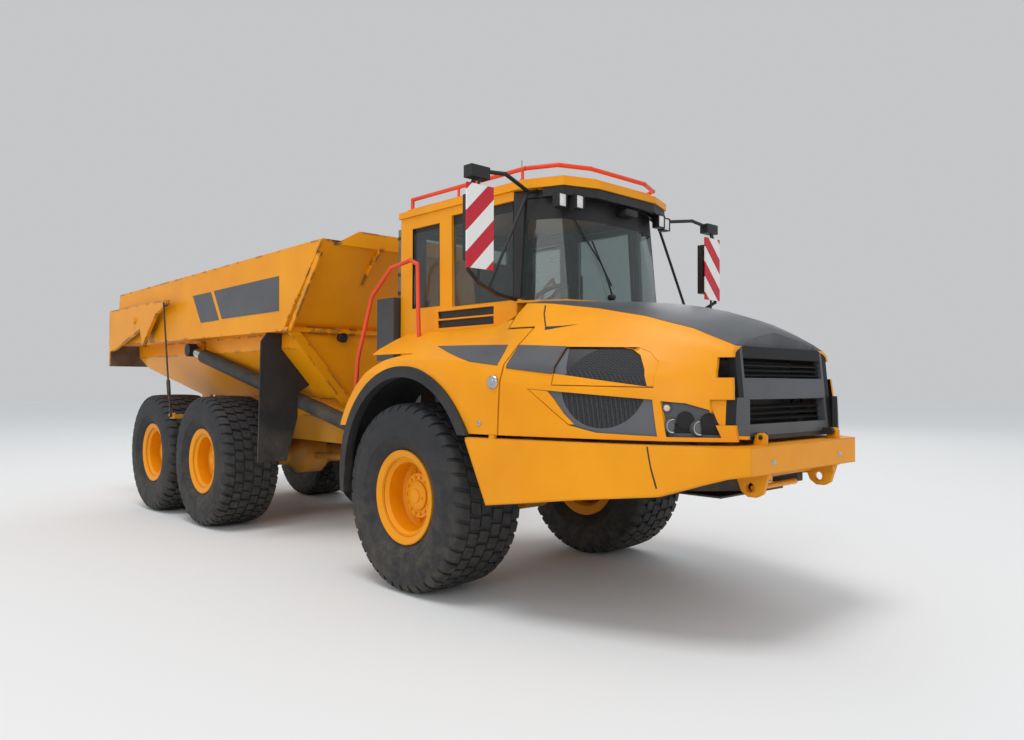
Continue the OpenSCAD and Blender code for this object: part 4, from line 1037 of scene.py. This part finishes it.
# %% Headlamps, two on each side, and their markers
HEADLAMPS = [(2.350, 0.955, 1.462), (2.492, 0.856, 1.450)]
bowls, glasses, shells, markers = bmesh.new(), bmesh.new(), bmesh.new(), bmesh.new()
for side in (1, -1):
    ahead = Vector((0.93, side * 0.36, 0.0))
    for x, y, z in HEADLAMPS:
        place = from_axle(x, side * y, z) + ahead * 0.012
        add_round_lamp(bowls, glasses, place, ahead, 0.046)
        add_turned(shells, [(0.048, -0.09), (0.056, -0.08), (0.056, 0.004), (0.052, 0.008), (0.048, 0.002),
                            (0.048, -0.09)], place, ahead)
    place, outward = from_axle(2.329, side * 0.978, 1.580), (0.58, side * 0.82, 0.0)
    add_turned(shells, [(0, -0.01), (0.036, -0.01), (0.036, 0.004), (0.028, 0.010), (0, 0.010)], place, outward, 24)
    add_turned(markers, [(0, 0.008), (0.022, 0.008), (0.020, 0.018), (0, 0.022)], place, outward, 24)
finish_piece("headlamp_bowls", bowls, "hood", lamp_reflector)
finish_piece("headlamp_glass", glasses, "hood", lamp_lens)
finish_piece("headlamp_shells", shells, "hood", dark_paint)
finish_piece("marker_lenses", markers, "hood", marker_lens)

# %% [markdown]
# ### Work lamps and tail lamps
#
# The solids have the work lamps' housings. A pale block with soft edges is the face of each,
# and four thin bars are its rim. An inset face would do too, but bars keep the rim's own
# finish apart. At the tail, round lenses are turned like the headlamps.

# %% Work lamps under the visor and the lamps at the tail
faces, rims, reds, ambers = bmesh.new(), bmesh.new(), bmesh.new(), bmesh.new()
for side in (1, -1):
    for x, y in ((1.120, 0.700), (1.170, 0.550)):
        middle = from_axle(x, side * y, 3.2075)
        add_block(faces, middle - Vector((0.004, 0.040, 0.050)), middle + Vector((0.010, 0.040, 0.050)), 0.006)
        for sign in (1, -1):
            add_block(rims, middle + Vector((-0.03, sign * 0.043 - 0.004, -0.057)),
                      middle + Vector((0.016, sign * 0.043 + 0.004, 0.057)), 0.002)
            add_block(rims, middle + Vector((-0.03, -0.047, sign * 0.055 - 0.004)),
                      middle + Vector((0.016, 0.047, sign * 0.055 + 0.004)), 0.002)
    for offset, target in ((0.035, reds), (0.125, ambers), (0.215, reds)):
        place = from_axle(-6.650, side * (0.520 + offset + 0.005), 1.14)
        add_turned(target, [(0, 0), (0.042, 0), (0.042, 0.012), (0.034, 0.019), (0, 0.021)], place, (-1, 0, 0), 28)
finish_piece("work_lamp_faces", faces, "front_unit", work_lamp_face)
finish_piece("work_lamp_rims", rims, "front_unit", black_plastic)
finish_piece("tail_lenses_red", reds, "rear_unit", red_lens)
finish_piece("tail_lenses_amber", ambers, "rear_unit", amber_lens)

# %% [markdown]
# ## Mirrors, wiper and antenna
#
# Thin struts brace the mirrors' arms, and a silvered face sits behind each striped board.
# Such rods could be curves with a round section. Short bars with a ball in each bend look the
# same when they are this thin, and they join the other small shapes in one mesh.

# %% Struts, mirror glass and the camera under the visor
black, glass = bmesh.new(), bmesh.new()
for side in (1, -1):
    add_bar(black, from_axle(0.90, side * 0.862, 3.283), from_axle(0.925, side * 1.31, 2.462), 0.013)
    add_bar(black, from_axle(1.066, side * 1.53, 3.30), from_axle(1.066, side * 1.53, 2.48), 0.010)
    middle = from_axle(0.984, side * 1.5175, 2.88)
    add_block(glass, middle - Vector((0.004, 0.085, 0.225)), middle + Vector((0.002, 0.085, 0.225)), 0.002)
    add_block(black, middle - Vector((0.003, 0.097, 0.240)), middle + Vector((0.012, 0.097, 0.240)), 0.004)
add_block(black, from_axle(1.10, 0.00, 3.175), from_axle(1.22, 0.16, 3.235), 0.012)
add_bar(black, from_axle(1.16, 0.08, 3.225), from_axle(1.16, 0.08, 3.275), 0.012)
finish_piece("mirror_struts", black, "front_unit", black_plastic)
finish_piece("mirror_glass", glass, "front_unit", mirror_glass)

# %% [markdown]
# ### Wiper
#
# The wiper lies close on the curved windscreen. Its places could be measured by hand, but a
# ray from the front finds the glass at any height, so the blade follows it.

# %% Wiper and antenna
black = bmesh.new()
screen_skin = skin_of("cab_glass")


def on_screen(y, z, off):
    """A place in front of the windscreen."""
    return screen_skin.ray_cast(from_axle(OUTSIDE, y, z), Vector((-1, 0, 0)))[0] + Vector((off, 0, 0))


WIPER_FOOT = (-0.18, 2.46)
add_tube(black, [on_screen(*WIPER_FOOT, 0.03), on_screen(-0.24, 2.62, 0.035), on_screen(-0.36, 2.92, 0.028)],
         0.008, 8)
add_tube(black, [on_screen(*place, 0.014) for place in ((-0.16, 2.56), (-0.28, 2.74), (-0.42, 2.96), (-0.50, 3.10))],
         0.007, 8)
add_turned(black, [(0, -0.02), (0.024, -0.02), (0.024, 0.03), (0.016, 0.04), (0, 0.04)],
           on_screen(*WIPER_FOOT, 0.012), (1, 0, 0), 16)
add_turned(black, [(0, 0), (0.022, 0), (0.016, 0.03), (0.006, 0.05), (0.0035, 0.07), (0.0025, 0.20), (0, 0.20)],
           from_axle(0.66, -0.70, 3.42), (0, 0, 1), 12)
finish_piece("wiper_and_antenna", black, "front_unit", black_plastic)

# %% [markdown]
# ## Handles, caps and locks
#
# These small fittings tell a viewer how large the truck is. They could be left to a bump
# map, but light catches a turned cap or a bent bar only where there is a real edge.

# %% Door handle and grab bar
black = bmesh.new()
add_block(black, from_axle(0.555, 0.828, 2.20), from_axle(0.645, 0.842, 2.26), 0.004)
add_tube(black, [from_axle(0.57, 0.838, 2.215), from_axle(0.57, 0.862, 2.215), from_axle(0.57, 0.862, 2.245),
                 from_axle(0.57, 0.838, 2.245)], 0.006, 8)
add_tube(black, [from_axle(-0.06, 0.832, 1.98), from_axle(-0.06, 0.872, 2.00), from_axle(-0.06, 0.872, 2.85),
                 from_axle(-0.06, 0.832, 2.87)], 0.012)
finish_piece("door_fittings", black, "cab_door", black_plastic)

# %% Fuel cap, locks and step bar
metal = bmesh.new()
place, normal = skin_place(fender_skin, FRONT_AXLE_X + 1.095, 1.748, -1)
add_turned(metal, [(0, 0), (0.050, 0), (0.050, 0.006), (0.042, 0.014), (0.020, 0.015), (0.018, 0.022), (0, 0.022)],
           place, normal)
for side in (1, -1):
    place, normal = skin_place(fender_skin, FRONT_AXLE_X + 0.985, 1.445, side)
    add_turned(metal, [(0, 0), (0.020, 0), (0.020, 0.005), (0.012, 0.007), (0.012, 0.002), (0, 0.002)],
               place, normal, 24)
    add_bolt(metal, from_axle(2.8195, side * 0.490, 1.226), (1, 0, 0), 0.030)
finish_piece("caps_and_locks", metal, "front_unit", rod_chrome)
bm = bmesh.new()
add_tube(bm, [from_axle(2.66, -0.47, 1.04), from_axle(2.66, -0.10, 1.04), from_axle(2.66, 0.13, 1.04)], 0.020)
finish_piece("step_bar", bm, "front_unit", yellow_paint)

# %% [markdown]
# ## Turnbuckles and a camera
#
# Each of the tailgate's wires is set to its length with a turnbuckle, a long nut low on the
# wire. It rides with the wire, so it stays on it when the body tips. A small camera looks
# from the body's front. Both are round, so both are turned and not carved from blocks.

# %% Turnbuckles on the tailgate's wires and a camera on the body's front
bm = bmesh.new()
WIRE_FOOT, WIRE_TOP = Vector((-4.984, 1.518, 1.352)), Vector((-5.260, 1.518, 2.800))
for side in (1, -1):
    ends = [from_axle(p.x, side * p.y, p.z) for p in (WIRE_FOOT.lerp(WIRE_TOP, 0.16), WIRE_FOOT.lerp(WIRE_TOP, 0.30))]
    add_turned(bm, [(0, 0), (0.019, 0), (0.024, 0.02), (0.024, 0.18), (0.019, 0.20), (0, 0.20)],
               ends[0], (ends[1] - ends[0]).normalized(), 12)
finish_piece("turnbuckles", bm, "gate_wires", wire_steel)
bm = bmesh.new()
add_turned(bm, [(0, -0.05), (0.045, -0.05), (0.055, 0), (0.055, 0.03), (0.045, 0.035), (0.040, 0.02), (0, 0.02)],
           from_axle(-2.352, -0.592, 2.251), (1, 0, 0), 24)
finish_piece("body_camera", bm, "dump_body", black_plastic)

# %% [markdown]
# ## Slots, pockets and a groove
#
# Air slots, the hollows round the lamps and the groove under the cab read as dark shapes.
# They could be cut deep into the solids. A thin black plate at the back of a slot, or laid on
# the skin, looks as deep from outside and leaves the solids alone. The black of these plates
# is painted shade.

# %% Backs of the air slots, lamp pockets and the groove under the cab
bm = bmesh.new()
# Black plates as painted shade at the back of each air slot
for low in (2.247, 2.330):
    add_block(bm, from_axle(-0.303, -0.816, low), from_axle(0.453, -0.8115, low + 0.064), 0.001)
finish_piece("air_slot_backs", bm, "front_unit", black_plastic)
POCKETS = [
    [(2.362, 1.415), (2.480, 1.415), (2.478, 1.450), (2.462, 1.495), (2.430, 1.518), (2.395, 1.512), (2.370, 1.480)],
    [(2.503, 1.408), (2.600, 1.405), (2.598, 1.436), (2.584, 1.478), (2.556, 1.500), (2.526, 1.494), (2.508, 1.462)],
]
lamp_skin = skin_of("headlamps")
# Near-black plates as painted shade in the hollows round the lamps
for index, outline in enumerate(POCKETS):
    laid_panel("lamp_pocket_%d" % (index + 1), outline, lamp_skin, "hood", painted_shade_black, 0.0002, 0.001)
# A thin black strip as painted shade in the groove under the cab
laid_panel("fender_groove", [(-0.70, 2.178), (0.50, 2.178), (0.50, 2.190), (-0.70, 2.190)], skin_of("cab_shell"),
           "front_unit", black_plastic, 0.0, 0.0010)

# %% [markdown]
# ## The cap's lip
#
# At the nose the dark cap turns down to the grille. The solids leave a low arch open there.
# A strip is drawn across the truck from the cap's front edge, found with rays from above, and
# is then thickened. The cap's own edge could be extruded, but its facets are uneven there.

# %% Turn the cap down to the grille
LIP_HALF, LIP_STEPS, LIP_LOW = 0.60, 32, 1.972
SEARCH_FROM, SEARCH_STEP, SEARCH_STEPS = 2.75, 0.005, 40
CAP_FOOT = 1.8
cap_skin = skin_of("hood_cap")
bm = bmesh.new()
columns = []
for index in range(LIP_STEPS + 1):
    y = -LIP_HALF + 2 * LIP_HALF * index / LIP_STEPS
    for step in range(SEARCH_STEPS):
        top = cap_skin.ray_cast(from_axle(SEARCH_FROM - SEARCH_STEP * step, y, OUTSIDE), Vector((0, 0, -1)))[0]
        if top is not None and top.z > CAP_FOOT:
            break
    low = max(LIP_LOW, top.z - 0.05) if top.z < LIP_LOW + 0.03 else LIP_LOW
    columns.append([bm.verts.new(top + Vector((0.004, 0, 0))), bm.verts.new((top.x - 0.006, y, low))])
for first, second in zip(columns, columns[1:]):
    bm.faces.new((first[0], first[1], second[1], second[0]))
bmesh.ops.recalc_face_normals(bm, faces=bm.faces)
bmesh.ops.solidify(bm, geom=bm.faces[:], thickness=0.008)
finish_piece("cap_lip", bm, "hood", dark_paint)

# %% [markdown]
# ## Seat
#
# The seat shows through the windscreen. Its solids are plain blocks, so the cab's
# inside is copied without them, and a cushion and a backrest take their place. Each starts as
# a block, is divided, crowned in the middle and pulled in at its sides, and is then rounded
# by a Subdivision Surface modifier.

# %% Copy the cab's inside without its seat blocks
SEAT_TOP_X = 0.105
SEAT_FOOT = 2.105
inside = soft_panel("cab_interior", math.radians(40))
bm = bmesh.new()
bm.from_mesh(inside.data)
blocks = [face for face in bm.faces
          if all(vert.co.x < SEAT_TOP_X + FRONT_AXLE_X and vert.co.z > SEAT_FOOT for vert in face.verts)]
bmesh.ops.delete(bm, geom=blocks, context="FACES")
bmesh.ops.holes_fill(bm, edges=[edge for edge in bm.edges if edge.is_boundary])
bm.to_mesh(inside.data)
bm.free()
inside.data.materials.append(black_plastic)
print("cab inside", len(inside.data.polygons), "faces")

# %% Sew the cushions
seat_cloth, seat_tree, seat_shader = new_material("seat_cloth", {"Roughness": 0.9, "Sheen Weight": 0.3})
weave = noise_node(seat_tree, place_nodes(seat_tree)[0], 420.0, detail=1.0)
feed(seat_tree, seat_shader, {
    "Base Color": mix_colour(seat_tree, weave, colour("202226"), colour("3A3D42")),
    "Normal": relief_normal(seat_tree, weave, 0.3, 0.002)})


def cushion(name, size, matrix, crown=0.012):
    """A padded block: crowned on its front face, pulled in along its sides."""
    bm = bmesh.new()
    bmesh.ops.create_cube(bm, size=1.0)
    bmesh.ops.subdivide_edges(bm, edges=bm.edges[:], cuts=7, use_grid_fill=True)
    for vert in bm.verts:
        u, v, w = vert.co * 2
        rise = (1 - u ** 4) * (1 - v ** 4)
        pull = 1 - 0.03 * (1 - w * w)
        vert.co = Vector((u * size[0] / 2 * pull, v * size[1] / 2 * pull,
                          w * size[2] / 2 * (0.72 + 0.28 * rise) + (crown * rise if w > 0.9 else 0)))
        if w > 0.9 and min(abs(v - 0.45), abs(v + 0.45)) < 0.13:
            vert.co.z -= 0.006
    bmesh.ops.transform(bm, matrix=matrix, verts=bm.verts)
    piece = finish_piece(name, bm, "front_unit", seat_cloth)
    rounding = piece.modifiers.new("rounding", "SUBSURF")
    rounding.levels = rounding.render_levels = 1


cushion("seat_cushion", (0.53, 0.50, 0.125), Matrix.Translation(from_axle(-0.185, 0, 2.178)))
lean = Matrix.Translation(from_axle(-0.44, 0, 2.60)) @ Matrix.Rotation(math.radians(82), 4, "Y")
cushion("seat_backrest", (0.70, 0.48, 0.115), lean)

# %% [markdown]
# ## Exhaust
#
# Clamps hold the stack to its bracket and to the silencer's box. They could be rings of the
# solid, but as turned bands with a bolt each they take the finish of bare steel.

# %% Clamp the exhaust stack
STACK_X, STACK_Y = -1.030, -0.700
metal = bmesh.new()
for z in (2.62, 2.80, 3.16):
    add_turned(metal, [(0.050, 0), (0.057, 0), (0.057, 0.028), (0.050, 0.028)], from_axle(STACK_X, STACK_Y, z),
               (0, 0, 1))
    add_bolt(metal, from_axle(STACK_X + 0.056, STACK_Y, z + 0.014), (1, 0, 0), 0.018)
finish_piece("exhaust_clamps", metal, "front_unit", wire_steel)

# %% [markdown]
# ## Finish
#
# The Standard view shows each colour about as it is written, where a filmic one would soften it.

# %% Finish
bpy.context.scene.view_settings.view_transform = "Standard"
